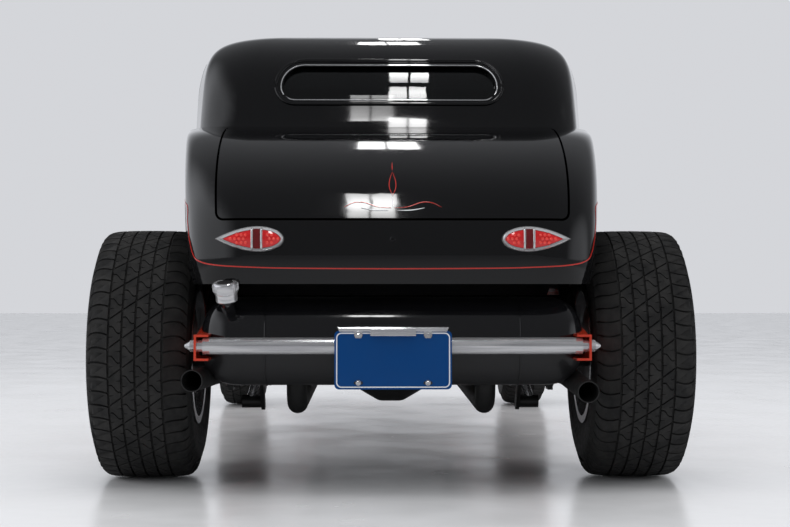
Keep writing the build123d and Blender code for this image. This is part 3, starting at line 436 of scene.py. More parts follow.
# Geometry Nodes: one tree turns copies of a piece about X, the other runs a round rod along a path
def newTree(name, **sizes):
    tree = bpy.data.node_groups.new(name, "GeometryNodeTree")
    tree.interface.new_socket("Geometry", in_out="INPUT", socket_type="NodeSocketGeometry")
    tree.interface.new_socket("Geometry", in_out="OUTPUT", socket_type="NodeSocketGeometry")
    for label, kind in sizes.items():
        tree.interface.new_socket(label, in_out="INPUT", socket_type=kind)
    tree.nodes.new("NodeGroupInput").name = "start"
    tree.nodes.new("NodeGroupOutput").name = "end"
    return tree


def endTree(tree, geometry):
    # the copies are made real and take the given finish
    real = addNode(tree, "GeometryNodeRealizeInstances", Geometry=geometry)
    paint = addNode(tree, "GeometryNodeSetMaterial", Geometry=real.outputs["Geometry"],
                    Material=tree.nodes["start"].outputs["Finish"])
    tree.links.new(paint.outputs["Geometry"], tree.nodes["end"].inputs["Geometry"])
    return tree


def makeCopiesTree():
    tree = newTree("turnedCopies", Count="NodeSocketInt", Step="NodeSocketFloat",
                   Finish="NodeSocketMaterial")
    given = tree.nodes["start"].outputs
    points = addNode(tree, "GeometryNodeMeshLine", Count=given["Count"], Offset=(0, 0, 0))
    index = addNode(tree, "GeometryNodeInputIndex")
    axes = addNode(tree, "ShaderNodeCombineXYZ", X=combined(tree, index.outputs["Index"], given["Step"]))
    turn = addNode(tree, "FunctionNodeEulerToRotation", Euler=axes.outputs["Vector"])
    copies = addNode(tree, "GeometryNodeInstanceOnPoints", Points=points.outputs["Mesh"],
                     Instance=given["Geometry"], Rotation=turn.outputs["Rotation"])
    return endTree(tree, copies.outputs["Instances"])


def makeRodTree():
    tree = newTree("rodAlongPath", Radius="NodeSocketFloat", Sides="NodeSocketInt",
                   Finish="NodeSocketMaterial")
    given = tree.nodes["start"].outputs
    section = addNode(tree, "GeometryNodeCurvePrimitiveCircle", Radius=given["Radius"],
                      Resolution=given["Sides"])
    sweep = addNode(tree, "GeometryNodeCurveToMesh", Curve=given["Geometry"],
                    Profile_Curve=section.outputs["Curve"], Fill_Caps=True)
    return endTree(tree, sweep.outputs["Mesh"])


copiesTree = makeCopiesTree()
rodTree = makeRodTree()


def runTree(name, source, tree, place=Matrix.Identity(4), **values):
    # the tree's result on a source object as a plain mesh object
    modifier = source.modifiers.new("nodes", "NODES")
    modifier.node_group = tree
    for item in tree.interface.items_tree:
        if item.in_out == "INPUT" and item.name in values:
            modifier[item.identifier] = values[item.name]
    depsgraph = bpy.context.evaluated_depsgraph_get()
    mesh = bpy.data.meshes.new_from_object(source.evaluated_get(depsgraph))
    bpy.data.objects.remove(source)
    mesh.name = name
    mesh.transform(place)
    obj = bpy.data.objects.new(name, mesh)
    scene.collection.objects.link(obj)
    roundOff(obj)
    return obj


def copiesAbout(name, verts, faces, count, place, material, body):
    # copies of one mesh, evenly turned about X, at a place
    source = addMesh(name + "Source", verts, faces, material)
    ring = runTree(name, source, copiesTree, place=place, Count=count, Step=2 * math.pi / count,
                   Finish=finish[material])
    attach(ring, body)
    return ring


def rodAlong(name, points, radius, material, body, closed=False, sides=12):
    # a round rod along points
    curve = bpy.data.curves.new(name + "Path", "CURVE")
    curve.dimensions = "3D"
    spline = curve.splines.new("POLY")
    spline.points.add(len(points) - 1)
    for slot, point in zip(spline.points, points):
        slot.co = (*point, 1.0)
    spline.use_cyclic_u = closed
    source = bpy.data.objects.new(name + "Path", curve)
    scene.collection.objects.link(source)
    piece = runTree(name, source, rodTree, Radius=radius, Sides=sides, Finish=finish[material])
    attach(piece, body)
    return piece


# Tyres: a turned carcass with one pitch of tread blocks copied round it
tyreSet = {
    "rear": {"pitches": 28, "ribs": 4, "tread": 0.232, "rim": 0.254},
    "front": {"pitches": 30, "ribs": 2, "tread": 0.150, "rim": 0.178},
    "seat": 0.1908, "bulge": 0.46, "samples": 6, "segments": 168,  # the bead's radius; the wall's widest share
    "blocksEnd": 5, "groovesEnd": 6, "grooveFade": 0.020,  # both ends are marks of the outline
    "ridges": (44, 45, 58, 59), "ridge": 0.0012,  # raised rings on the wall, at these points of the outline
    "grooveDepth": 0.0070, "grooveWidth": 0.0052, "slotWidth": 0.0046, "waveWidth": 0.0034,
    "ribWidth": 0.0360, "slope": -0.74, "edgeRound": 0.0009, "blockRoot": 0.001,
    "waveStart": 0.22, "waveRun": 0.50, "waveDepth": 0.0046, "notch": 0.0015, "tip": (0.42, 0.002),
    "shoulderBend": 0.006, "shoulderTurn": 4.2, "shoulderReach": 0.004,
}


def tyreLine(kind, node):
    # half outline of the tyre from the crown to the bead, as (across, radius), with its running lengths
    size = tyreSet
    low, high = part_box(node)
    half, crown = (high.x - low.x) / 2, (high.z - low.z) / 2
    seat, edge, rim = size["seat"], size[kind]["tread"] / 2, size[kind]["rim"] / 2
    bulge = seat + (crown - seat) * size["bulge"]
    marks = [(0, crown), (edge * 0.5, crown - 0.0008), (edge - 0.018, crown - 0.0030),  # tread
             (edge - 0.002, crown - 0.0072), (edge + 0.010, crown - 0.0160), (half - 0.008, crown - 0.036),
             (half - 0.0008, bulge + 0.030), (half, bulge + 0.004), (half - 0.004, bulge - 0.026),  # wall
             (rim + 0.0045, seat + 0.022), (rim - 0.0005, seat + 0.013), (rim - 0.0005, seat)]  # bead
    route = smoothRoute([(x, r, 0) for x, r in marks], size["samples"])
    lengths = [0.0]
    for before, after in zip(route, route[1:]):
        lengths.append(lengths[-1] + (after - before).length)
    return route, lengths


def onTyre(line, along, depth):
    # (across, radius) at a distance from the crown, below the surface
    route, lengths = line
    sign = -1 if along < 0 else 1
    along = min(abs(along), lengths[-1] - 1e-6)
    i = max(k for k in range(len(lengths) - 1) if lengths[k] <= along)
    share = (along - lengths[i]) / (lengths[i + 1] - lengths[i])
    point = route[i].lerp(route[i + 1], share)
    run = (route[i + 1] - route[i]).normalized()
    return sign * (point.x + run.y * depth), point.y - run.x * depth


def blockOutlines(kind, pitch, lengths):
    # tread block outlines of one pitch, as (along the section, round the tyre)
    size = tyreSet
    ribs, rib = size[kind]["ribs"], size["ribWidth"]
    gap, slot, thin = size["grooveWidth"] / 2, size["slotWidth"] / 2, size["waveWidth"] / 2
    notch, (tipIn, tipUp) = size["notch"], size["tip"]
    width = rib - 2 * gap
    outlines = []
    for k in range(ribs):
        left = (k - ribs / 2) * rib + gap
        right = left + width
        steps = [left + width * n / 8 for n in range(9)]
        slant = [(s, size["slope"] * s) for s in steps]
        wave = [(s, v + pitch * (size["waveStart"] + size["waveRun"] * n / 8)
                 - size["waveDepth"] * math.sin(math.pi * n / 4)) for n, (s, v) in enumerate(slant)]
        topMiddle = (slant[8][1] + wave[8][1]) / 2
        lowMiddle = (wave[0][1] + slant[0][1] + pitch) / 2
        outlines.append([(s, v + slot) for s, v in slant]
                        + [(right, topMiddle - notch), (right - width * tipIn, topMiddle + tipUp),
                           (right, topMiddle + notch)]
                        + [(s, v - thin) for s, v in reversed(wave)])
        outlines.append([(s, v + thin) for s, v in wave]
                        + [(s, v + pitch - slot) for s, v in reversed(slant)]
                        + [(left, lowMiddle + notch), (left + width * tipIn, lowMiddle - tipUp),
                           (left, lowMiddle - notch)])
    # two shoulder blocks on each side, which run over the edge
    start = ribs / 2 * rib + gap
    reach = lengths[size["blocksEnd"] * size["samples"]] + size["shoulderReach"] - start
    for sign in (-1, 1):
        for n in range(2):
            shift = sign * size["slope"] * start + n * pitch / 2
            bent = [(start + reach * m / 7, size["shoulderBend"] * math.sin(m / 7 * size["shoulderTurn"]))
                    for m in range(8)]
            low = [(sign * s, shift + v + slot) for s, v in bent]
            high = [(sign * s, shift + pitch / 2 + v - slot) for s, v in bent]
            outlines.append(low + high[::-1])
    return outlines


def pitchMesh(kind, line, pitch, crown):
    # points and faces of one pitch of tread about the X axis
    verts, faces = [], []
    depth, edge = tyreSet["grooveDepth"], tyreSet["edgeRound"]
    for shape in blockOutlines(kind, pitch, line[1]):
        centre = Vector((sum(s for s, v in shape) / len(shape), sum(v for s, v in shape) / len(shape)))
        faces += ringFaces(3, len(shape), first=len(verts))
        for inset, down in ((0, depth + tyreSet["blockRoot"]), (0, edge), (edge, 0)):
            for s, v in shape:
                spot = Vector((s, v))
                if inset:
                    spot += (centre - spot).normalized() * inset
                verts.append(aboutX(*onTyre(line, spot.x, down), spot.y / crown))
    return verts, faces


def carcass(line):
    # closed section of the tyre under its tread, as (across, radius)
    size = tyreSet
    lengths = line[1]
    fadeEnd = lengths[size["groovesEnd"] * size["samples"]]
    half = []
    for k, length in enumerate(lengths):
        deep = size["grooveDepth"] * min(1, max(0, (fadeEnd - length) / size["grooveFade"]))
        ridge = size["ridge"] if k in size["ridges"] else 0
        half.append(onTyre(line, length, deep - ridge))
    return half + [(-x, r) for x, r in reversed(half[1:])]


def wheelPlace(kind, side):
    # the middle of a wheel, with +X towards its outer face
    place = Matrix.Translation(middle(f"{kind}_tyre_{side}"))
    return place if side == "right" else place @ Matrix.Rotation(math.pi, 4, "Z")


def makeTyre(kind, side):
    node, body = f"{kind}_tyre_{side}", f"wheel_{kind}_{side}"
    line = tyreLine(kind, node)
    crown = line[0][0].y
    place = wheelPlace(kind, side)
    verts, faces = turned(carcass(line), tyreSet["segments"], place)
    tyre = addMesh(f"{kind}Tyre_{side}", verts, faces, "rubber", 40)
    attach(tyre, body)
    count = tyreSet[kind]["pitches"]
    verts, faces = pitchMesh(kind, line, 2 * math.pi * crown / count, crown)
    blocks = copiesAbout(f"{kind}Tread_{side}", verts, faces, count, place, "rubber", body)
    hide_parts(node)


for side in ("right", "left"):
    makeTyre("rear", side)
    makeTyre("front", side)
print("tyres made")


# Rear window: a raised bead round the opening and a bright seal inside it
windowSet = {"half": 0.334, "low": 1.136, "high": 1.247, "lowCorner": 0.040, "highCorner": 0.068,
             "beadOut": 0.021, "beadRadius": 0.0062, "sealOut": 0.0048, "sealRadius": 0.0019,
             "lowShare": 0.8, "longest": 0.02, "behind": -1.6, "inside": -0.95}


def roundedOutline(half, low, high, lowCorner, highCorner, steps=10):
    # closed outline of a rounded rectangle as (x, z)
    outline = []
    for x, z, radius, start in ((half - lowCorner, low + lowCorner, lowCorner, -90),
                                (half - highCorner, high - highCorner, highCorner, 0),
                                (highCorner - half, high - highCorner, highCorner, 90),
                                (lowCorner - half, low + lowCorner, lowCorner, 180)):
        for step in range(steps + 1):
            angle = math.radians(start + 90 * step / steps)
            outline.append((x + radius * math.cos(angle), z + radius * math.sin(angle)))
    return outline


def thickened(outline, longest):
    # the closed outline with points added on its long runs
    result = []
    for (x0, z0), (x1, z1) in zip(outline, outline[1:] + outline[:1]):
        parts = max(1, int(math.hypot(x1 - x0, z1 - z0) / longest))
        result += [(x0 + (x1 - x0) * k / parts, z0 + (z1 - z0) * k / parts) for k in range(parts)]
    return result


def makeWindowTrim():
    size = windowSet
    skin = surfaceOf("roof")
    for name, out, radius, material in (("rearWindowBead", size["beadOut"], size["beadRadius"], "paint"),
                                        ("rearWindowSeal", size["sealOut"], size["sealRadius"], "chrome")):
        outline = roundedOutline(size["half"] + out, size["low"] - out * size["lowShare"],
                                 size["high"] + out, size["lowCorner"] + out, size["highCorner"] + out)
        path = []
        for x, z in thickened(outline, size["longest"]):
            hit = skin.ray_cast(Vector((x, size["behind"], z)), Vector((0, 1, 0)))
            if hit[0] is None:
                hit = skin.find_nearest(Vector((x, size["inside"], z)))
            path.append(hit[0])
        bead = rodAlong(name, path, radius, material, "chassis", closed=True)


makeWindowTrim()


# Painted lines: along the foot of the body, up round each wheel arch, and a motif on the lid
stripeSet = {"width": 0.0034, "archX": 0.66, "archOut": 0.434, "archRise": 0.030, "archFrom": 112,
             "archTo": -8, "archStep": -8, "outset": 0.006, "widen": 1.01,
             "ornament": 0.0022, "ornamentTaper": 0.85, "before": 0.9, "outOfLid": 0.001,
             "corner": ((0, -0.4545, 0.594), (0.15, -0.4548, 0.5945), (0.30, -0.4552, 0.596),
                        (0.40, -0.4510, 0.600), (0.46, -0.4340, 0.604), (0.505, -0.4025, 0.612),
                        (0.530, -0.3700, 0.628), (0.545, -0.3380, 0.670), (0.555, -0.3060, 0.722),
                        (0.561, -0.2735, 0.772))}


def makeBodyStripe():
    size = stripeSet
    skin = surfaceOf("rear_body")
    tail = [(x * size["widen"], rearAxle.y + y - size["outset"], z)  # just outside the skin
            for x, y, z in size["corner"]]
    arch = []
    for degrees in range(size["archFrom"], size["archTo"] - 1, size["archStep"]):
        angle = math.radians(degrees)
        out = size["archOut"] + size["archRise"] * max(0, degrees - 90) / (size["archFrom"] - 90)
        arch.append((size["archX"], rearAxle.y + out * math.cos(angle), rearAxle.z + out * math.sin(angle)))
    for sign, side in bothSides:
        route = smoothRoute([(sign * x, y, z) for x, y, z in tail + arch], 14)
        stripeOn(f"bodyStripe_{side}", skin, route, size["width"], "redLine", "chassis")


# the lid's motif in (x, z): a slim leaf over a pair of long shallow scrolls, mirrored about the middle
motifSet = {
    "scroll": ("redLine", ((0.004, 0.756), (0.040, 0.759), (0.076, 0.771), (0.104, 0.770), (0.128, 0.758))),
    "under": ("white", ((0.012, 0.749), (0.050, 0.750), (0.084, 0.756))),
    "leaf": ("redLine", ((0.000, 0.790), (0.0085, 0.812), (0.0075, 0.834), (0.000, 0.858))),
    "stem": ("white", ((0.000, 0.760), (0.000, 0.772), (0.000, 0.784))),
    "spear": ("redLine", ((0.000, 0.862), (0.000, 0.874), (0.000, 0.888))),
}


def makeLidMotif():
    size = stripeSet
    skin = surfaceOf("deck_lid")
    for name, (material, line) in motifSet.items():
        for sign, side in bothSides if any(x for x, z in line) else ((1, "middle"),):
            points = []
            for x, z, _ in smoothRoute([(x, z, 0) for x, z in line], 10):
                start = Vector((sign * x, rearAxle.y - size["before"], z))
                hit = skin.ray_cast(start, Vector((0, 1, 0)))
                points.append(hit[0] - Vector((0, size["outOfLid"], 0)))
            stripeOn(f"lid_{name}_{side}", skin, points, size["ornament"], material, "deck_lid",
                     taper=size["ornamentTaper"])


makeBodyStripe()
makeLidMotif()
print("stripes laid")


# Tail lamps: chrome teardrop bezels, domed red lenses with beads, two bright bars over a dark middle
lampSet = {"inner": 0.285, "tip": 0.464, "peak": 0.353, "half": 0.033, "z": 0.672, "tipPull": 2.4,
           "face": rearAxle.y - 0.486, "root": rearAxle.y - 0.400, "lip": 0.0092, "beadStart": 0.014,
           "beadPitch": 0.0112, "beadRow": 0.87, "beadRadius": 0.0046, "beadOut": 0.0045, "beadFlat": 0.7,
           "bars": (0.342, 0.3665), "barClear": 0.0125, "barRadius": 0.0030,
           "barLine": ((0.002, -0.027), (-0.008, -0.022), (-0.010, 0), (-0.008, 0.022), (0.002, 0.027)),
           "middleHalf": 0.0235, "middleOut": 0.0062, "middleCorner": 0.003}


def lampHalf(x, edge):
    # half height of the outline at x, moved in by an edge: round inner end, pointed outer end
    size = lampSet
    half, peak = size["half"] - edge, size["peak"]
    if x <= peak:
        share = (peak - x) / (peak - size["inner"] - edge)
        return half * math.sqrt(max(0, 1 - share * share))
    share = (x - peak) / (size["tip"] - edge * size["tipPull"] - peak)
    return half * max(0, 1 - share ** 1.8)


def teardrop(edge, steps=14):
    # outline as (x, z); its round end is towards the middle of the car
    start, peak = lampSet["inner"] + edge, lampSet["peak"]
    end = lampSet["tip"] - edge * lampSet["tipPull"]
    places = [peak - (peak - start) * math.cos(math.pi / 2 * k / steps) for k in range(steps + 1)]
    places += [peak + (end - peak) * k / steps for k in range(1, steps + 1)]
    outline = [(x, lampHalf(x, edge)) for x in places]
    return outline + [(x, -z) for x, z in reversed(outline[1:-1])]


def teardropRings(levels):
    # rings of the outline at (edge, y) levels
    rings = []
    for edge, y in levels:
        rings += [(x, y, lampSet["z"] + z) for x, z in teardrop(edge)]
    return rings


def mirroredPoints(points, sign):
    return [(sign * x, y, z) for x, y, z in points]


def beadMesh(sign):
    # a small dome of four rings at each bead, in rows that keep clear of the rim and the bars
    size = lampSet
    radius, pitch = size["beadRadius"], size["beadPitch"]
    verts, faces = [], []
    for row in range(-2, 3):
        for column in range(14):
            x = size["inner"] + size["beadStart"] + column * pitch + (row % 2) * pitch / 2
            z = row * pitch * size["beadRow"]
            if abs(z) >= lampHalf(x, size["lip"] + 0.004) or any(abs(x - bar) <= size["barClear"]
                                                                 for bar in size["bars"]):
                continue
            faces += ringFaces(4, 8, first=len(verts))
            for ring in range(4):
                tilt = math.radians(ring * 28)
                for k in range(8):
                    turn = math.pi * k / 4
                    verts.append((sign * (x + radius * math.cos(tilt) * math.cos(turn)),
                                  size["face"] - size["beadOut"] - radius * math.sin(tilt) * size["beadFlat"],
                                  size["z"] + z + radius * math.cos(tilt) * math.sin(turn)))
    return verts, faces


def makeTailLamps():
    size = lampSet
    face, lip, height = size["face"], size["lip"], size["z"]
    count = len(teardrop(0))
    bezel = teardropRings([(0, size["root"]), (0, face + 0.006), (0.0012, face + 0.0022), (0.0035, face),
                           (lip - 0.001, face + 0.0012), (lip, face + 0.004), (lip, size["root"])])
    dome = teardropRings([(lip, face + 0.006), (lip, face + 0.002), (lip + 0.004, face - 0.001),
                          (lip + 0.012, face - 0.004), (lip + 0.020, face - 0.005)])
    x0, x1 = size["bars"]
    dark = roundedOutline((x1 - x0) / 2, height - size["middleHalf"], height + size["middleHalf"],
                          size["middleCorner"], size["middleCorner"], 3)
    for sign, side in bothSides:
        rim = addMesh(f"tailLampBezel_{side}", mirroredPoints(bezel, sign),
                      ringFaces(7, count, "joined"), "chrome", 40)
        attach(rim, "chassis")
        lens = addMesh(f"tailLampLens_{side}", mirroredPoints(dome, sign),
                       ringFaces(5, count), "redLens", 50)
        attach(lens, "chassis")
        beads = addMesh(f"tailLampBeads_{side}", *beadMesh(sign), "redBead", 60)
        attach(beads, "chassis")
        for n, x in enumerate(size["bars"]):
            path = smoothRoute([(sign * x, face + out, height + up) for out, up in size["barLine"]], 4)
            bar = rodAlong(f"tailLampBar{n}_{side}", path, size["barRadius"], "chrome", "chassis")
        verts = [(sign * ((x0 + x1) / 2 + x), y, z) for y in (face, face - size["middleOut"]) for x, z in dark]
        glass = addMesh(f"tailLampMiddle_{side}", verts, ringFaces(2, len(dark)), "redDark")
        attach(glass, "chassis")
        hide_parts("tail_lamps")
        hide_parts("tail_lamp_lenses")


# the lock in the middle of the tail, as (along, radius) from the skin
lockSet = {"place": (0, rearAxle.y - 0.452, 0.672),
           "profile": ((0, 0), (0, 0.0075), (0.0040, 0.0080), (0.0062, 0.0062), (0.0064, 0.0030),
                       (0.0050, 0.0024), (0.0050, 0))}


def makeLock():
    verts, faces = turned(lockSet["profile"], 28, facing(lockSet["place"], (0, -1, 0)))
    lock = addMesh("tailLock", verts, faces, "paint")
    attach(lock, "chassis")


makeTailLamps()
makeLock()
print("tail lamps made")


# Number plate: border line, slots, screws, lamp housing on the bracket
plateSet = {"half": 0.1525, "tall": 0.076, "corner": 0.014, "border": 0.0045, "line": 0.0030,
            "holeX": 0.0905, "topHole": 0.0645, "lowHole": -0.0590, "slot": (0.0115, 0.0042),
            "screw": ((0, 0), (0, 0.0070), (0.0012, 0.0072), (0.0014, 0.0052), (0.0045, 0.0050),
                      (0.0055, 0.0036), (0.0055, 0)),
            "lugTop": 0.080, "lugHalf": 0.0105, "lugFoot": 0.0075, "barRoot": 0.006,
            # half width above and below, top, foot, and how far it stands before the plate
            "plateStrip": (0.1450, 0.1390, 0.0855, 0.0735, 0.004),
            "plateLampHousing": (0.0590, 0.0590, 0.0845, 0.0630, 0.016)}


def framedBand(outer, inner, y0, y1):
    # closed band between two outlines of (x, z), from y0 to y1
    verts = []
    for y, outline in ((y0, outer), (y1, outer), (y1, inner), (y0, inner)):
        verts += [(x, y, z) for x, z in outline]
    return verts, ringFaces(4, len(outer), "joined")


def slab(outline, y0, y1):
    # closed slab of an outline of (x, z), from y0 to y1
    return [(x, y, z) for y in (y0, y1) for x, z in outline], ringFaces(2, len(outline))


def makePlateTrim():
    size = plateSet
    low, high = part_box("licence_plate")
    z, face = (low.z + high.z) / 2, low.y
    edge, line, corner = size["border"], size["line"], size["corner"]
    outer, inner = (roundedOutline(size["half"] - edge - inset, z - size["tall"] + edge + inset,
                                   z + size["tall"] - edge - inset, corner - inset, corner - inset)
                    for inset in (0, line))
    border = addMesh("plateBorder", *framedBand(outer, inner, face + 0.0004, face - 0.0009), "white")
    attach(border, "chassis")
    half, tall = size["slot"]
    wide, foot = size["lugHalf"], size["lugFoot"]
    holes = [(sign, up) for up in (size["topHole"], size["lowHole"]) for sign in (-1, 1)]
    for n, (sign, up) in enumerate(holes):
        x, height = sign * size["holeX"], z + up
        slot = roundedOutline(half, height - tall, height + tall, tall * 0.98, tall * 0.98, 6)
        slot = [(x + px, pz) for px, pz in slot]
        dark = addMesh(f"plateSlot{n}", *slab(slot, face + 0.0006, face - 0.0007), "trim")
        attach(dark, "chassis")
        verts, faces = turned(size["screw"], 6 if up > 0 else 20, facing((x, face, height), (0, -1, 0)))
        head = addMesh(f"plateScrew{n}", verts, faces, "polished")
        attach(head, "chassis")
        if up > 0:
            tab = [(x - wide, z + size["lugTop"]), (x + wide, z + size["lugTop"]), (x + wide, height),
                   (x + foot, height - foot), (x - foot, height - foot), (x - wide, height)]
            lug = addMesh(f"plateLug{n}", *slab(tab, face - 0.0008, face - 0.0024), "polished")
            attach(lug, "chassis")
    # the strip's ends slope in towards the plate; the lamp housing stands before its middle
    for name in ("plateStrip", "plateLampHousing"):
        topHalf, lowHalf, high, low, out = size[name]
        profile = [(size["barRoot"], high), (size["barRoot"], low), (-out + 0.002, low), (-out, low + 0.002),
                   (-out, high - 0.003), (-out + 0.003, high)]
        verts = []
        for sign in (-1, 1):
            for y, height in profile:
                half = lowHalf + (topHalf - lowHalf) * (height - low) / (high - low)
                verts.append((sign * half, face + y, z + height))
        piece = addMesh(name, verts, ringFaces(2, len(profile)), "polished")
        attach(piece, "chassis")


makePlateTrim()


# Fuel filler: bent neck, ribbed cap and dark insert, leaning back and outwards
fillerSet = {"top": (-0.439, rearAxle.y - 0.456, 0.560), "lean": (-0.08, -0.27, 0.95), "length": 0.052,
             "root": (-0.431, rearAxle.y - 0.366, 0.482), "bend": (0, 0.002, -0.007), "stub": 0.018,
             "ribs": 36, "ribEnds": (0.0305, 0.0465), "ribFoot": 0.0320, "ribRise": 0.0020,
             "ribHalf": 0.0017, "ribTaper": 180,
             "cap": ((0, 0), (0, 0.0270), (0.002, 0.0285), (0.021, 0.0285), (0.023, 0.0302),
                     (0.026, 0.0302), (0.0275, 0.0322), (0.029, 0.0326), (0.046, 0.0326),
                     (0.0495, 0.0314), (0.052, 0.0282), (0.0520, 0.0218), (0.0508, 0.0212), (0.0508, 0)),
             "insert": ((0.0506, 0), (0.0506, 0.0208), (0.0516, 0.0204), (0.0522, 0.017), (0.0522, 0))}


def makeFiller():
    size = fillerSet
    way = Vector(size["lean"]).normalized()
    base = Vector(size["top"]) - way * size["length"]
    place = facing(base, way)
    cap = addMesh("fillerNeckAndCap", *turned(size["cap"], 56, place), "polished")
    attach(cap, "chassis")
    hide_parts("filler_cap")
    rib = [(x, size["ribFoot"] + rise, side * size["ribHalf"] * (1 - rise * size["ribTaper"]))
           for x in size["ribEnds"]
           for rise, side in ((0, -1), (size["ribRise"], -1), (size["ribRise"], 1), (0, 1))]
    ribs = copiesAbout("fillerCapRibs", rib, ringFaces(2, 4), size["ribs"], place,
                       "polished", "chassis")
    insert = addMesh("fillerInsert", *turned(size["insert"], 36, place), "trim")
    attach(insert, "chassis")
    root = Vector(size["root"])
    bend = smoothRoute([root, root.lerp(base, 0.55) + Vector(size["bend"]), base - way * 0.004,
                        base + way * 0.008], 8)
    stub = rodAlong("fillerStub", bend, size["stub"], "tank", "chassis", sides=28)


makeFiller()


# Coil-overs: a real helix round each damper; the damper's profile is in shares of its length
coilSet = {"low": (0.414, rearAxle.y + 0.062, 0.212), "high": (0.322, rearAxle.y + 0.104, 0.500),
           "turns": 8, "turnSteps": 20, "radius": 0.041, "wire": 0.0052, "from": 0.24, "to": 0.84,
           "damper": ((0, 0), (0, 0.013), (0.16, 0.013), (0.17, 0.023), (0.20, 0.023), (0.205, 0.045),
                      (0.225, 0.045), (0.23, 0.024), (0.60, 0.024), (0.605, 0.009), (0.85, 0.009),
                      (0.855, 0.045), (0.875, 0.045), (0.88, 0.018), (0.91, 0.013), (0.925, 0.013),
                      (0.925, 0)),
           "eye": ((-0.036, 0), (-0.036, 0.019), (0.022, 0.019), (0.022, 0))}


def makeCoilovers():
    size = coilSet
    for sign, side in bothSides:
        low, high = (Vector((sign * x, y, z)) for x, y, z in (size["low"], size["high"]))
        place, length = facing(low, high - low), (high - low).length
        damper = [(length * share, radius) for share, radius in size["damper"]]
        body = addMesh(f"damper_{side}", *turned(damper, 32, place), "polished")
        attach(body, "chassis")
        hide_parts("coilovers")
        samples = size["turns"] * size["turnSteps"]
        path = []
        for k in range(samples + 1):
            share = k / samples
            along = length * (size["from"] + (size["to"] - size["from"]) * share)
            path.append(place @ aboutX(along, size["radius"], 2 * math.pi * size["turns"] * share))
        rodAlong(f"coilSpring_{side}", path, size["wire"], "satin", "chassis", sides=8)
        across = Matrix.Translation(low) @ Matrix.Scale(sign, 4, (1, 0, 0))
        piece = addMesh(f"damperEye_{side}", *turned(size["eye"], 28, across), "satin")
        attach(piece, "chassis")


makeCoilovers()


# Tank: a round shell with dished ends and a raised weld seam near each
tankSet = {"dish": 0.105, "dishPower": 2.4, "dishRings": 14, "squareness": 2.25, "points": 72,
           "seamX": 0.338, "seam": 0.0024}


def tankRing(x):
    # the shell's section at x, full size in the middle and closing in the dished ends
    size = tankSet
    low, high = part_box("fuel_tank")
    centre, half = (low + high) / 2, (high - low) / 2
    beyond = max(0.0, abs(x) - (half.x - size["dish"])) / size["dish"]
    scale = max(0.0, 1 - beyond ** size["dishPower"]) ** (1 / size["dishPower"])
    points = []
    for k in range(size["points"]):
        angle = 2 * math.pi * k / size["points"]
        across, up = (math.copysign(abs(v) ** (2 / size["squareness"]), v)
                      for v in (math.cos(angle), math.sin(angle)))
        points.append((x, centre.y + half.y * scale * across, centre.z + half.z * scale * up))
    return points


def makeTank():
    size = tankSet
    rings = size["dishRings"]
    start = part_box("fuel_tank")[1].x - size["dish"]
    places = [start + size["dish"] * math.sin(math.pi / 2 * k / rings) for k in range(rings + 1)]
    places = [-x for x in reversed(places)] + [-size["seamX"], 0, size["seamX"]] + places
    verts = [point for x in sorted(places) for point in tankRing(x)]
    shell = addMesh("fuelTankShell", verts, ringFaces(len(places), size["points"], "open"), "tank", 60)
    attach(shell, "chassis")
    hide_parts("fuel_tank")
    for sign, side in bothSides:
        seam = rodAlong(f"tankSeam_{side}", tankRing(sign * size["seamX"]), size["seam"], "tank",
                        "chassis", closed=True, sides=8)


makeTank()


# Wheels: lug nuts round each hub
nutSet = {"count": 5, "circle": 0.054, "rear": 0.074, "front": 0.052,  # how far out of the wheel's middle
          "profile": ((0, 0.0098), (0.0112, 0.0095), (0.016, 0.006))}


def makeNuts():
    size = nutSet
    for end in ("rear", "front"):
        for side in ("right", "left"):
            verts = []
            for along, radius in size["profile"]:
                for k in range(6):
                    corner = aboutX(size[end] + along, radius, math.pi * k / 3)
                    verts.append(corner + Vector((0, size["circle"], 0)))
            copiesAbout(f"{end}WheelNuts_{side}", verts, ringFaces(3, 6), size["count"],
                        wheelPlace(end, side), "chrome", f"wheel_{end}_{side}")


makeNuts()
print("small parts made")


# Seat: pleated leather base and back, as padded pieces
seatSet = {"pleats": 11, "steps": 8, "depth": 0.010, "foldPower": 6, "round": 0.030, "pull": 0.020,
           "inset": 0.004, "backShare": 0.15,
           "base": ((0.62, 0.43), (0.85, 0.415), (1.07, 0.42), (1.09, 0.50), (1.088, 0.60), (1.04, 0.633),
                    (0.85, 0.618), (0.68, 0.60), (0.60, 0.52)),
           "back": ((0.545, 0.62), (0.66, 0.60), (0.735, 0.62), (0.70, 0.74), (0.64, 0.90), (0.60, 0.985),
                    (0.545, 0.992), (0.505, 0.96), (0.515, 0.80), (0.53, 0.66))}


def padded(name, corners, axis):
    # a pad with a closed section of (y, z), swept across the car; its pleats face along the axis
    size = seatSet
    low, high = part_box("seat")
    left, right = low.x + size["inset"], high.x - size["inset"]
    stations = size["pleats"] * size["steps"]
    section = smoothRoute([(y, z, 0) for y, z in corners], 5, closed=True)
    centre = sum(section, Vector((0, 0, 0))) / len(section)
    verts = []
    for i in range(stations + 1):
        share = i / stations
        end = min(share, 1 - share) * (right - left)
        fold = abs(math.cos(math.pi * share * size["pleats"])) ** size["foldPower"] * size["depth"]
        pull = (1 - math.sqrt(max(0, 1 - (1 - min(1, end / size["round"])) ** 2))) * size["pull"]
        for point in section:
            away = point - centre
            weight = 1 if away.dot(Vector((*axis, 0))) > 0 else size["backShare"]
            spot = point - away.normalized() * (fold * weight + pull)
            verts.append((left + (right - left) * share, rearAxle.y + spot.x, spot.y))
    pad = addMesh(name, verts, ringFaces(stations + 1, len(section)), "leather", 60)
    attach(pad, "chassis")
    return pad


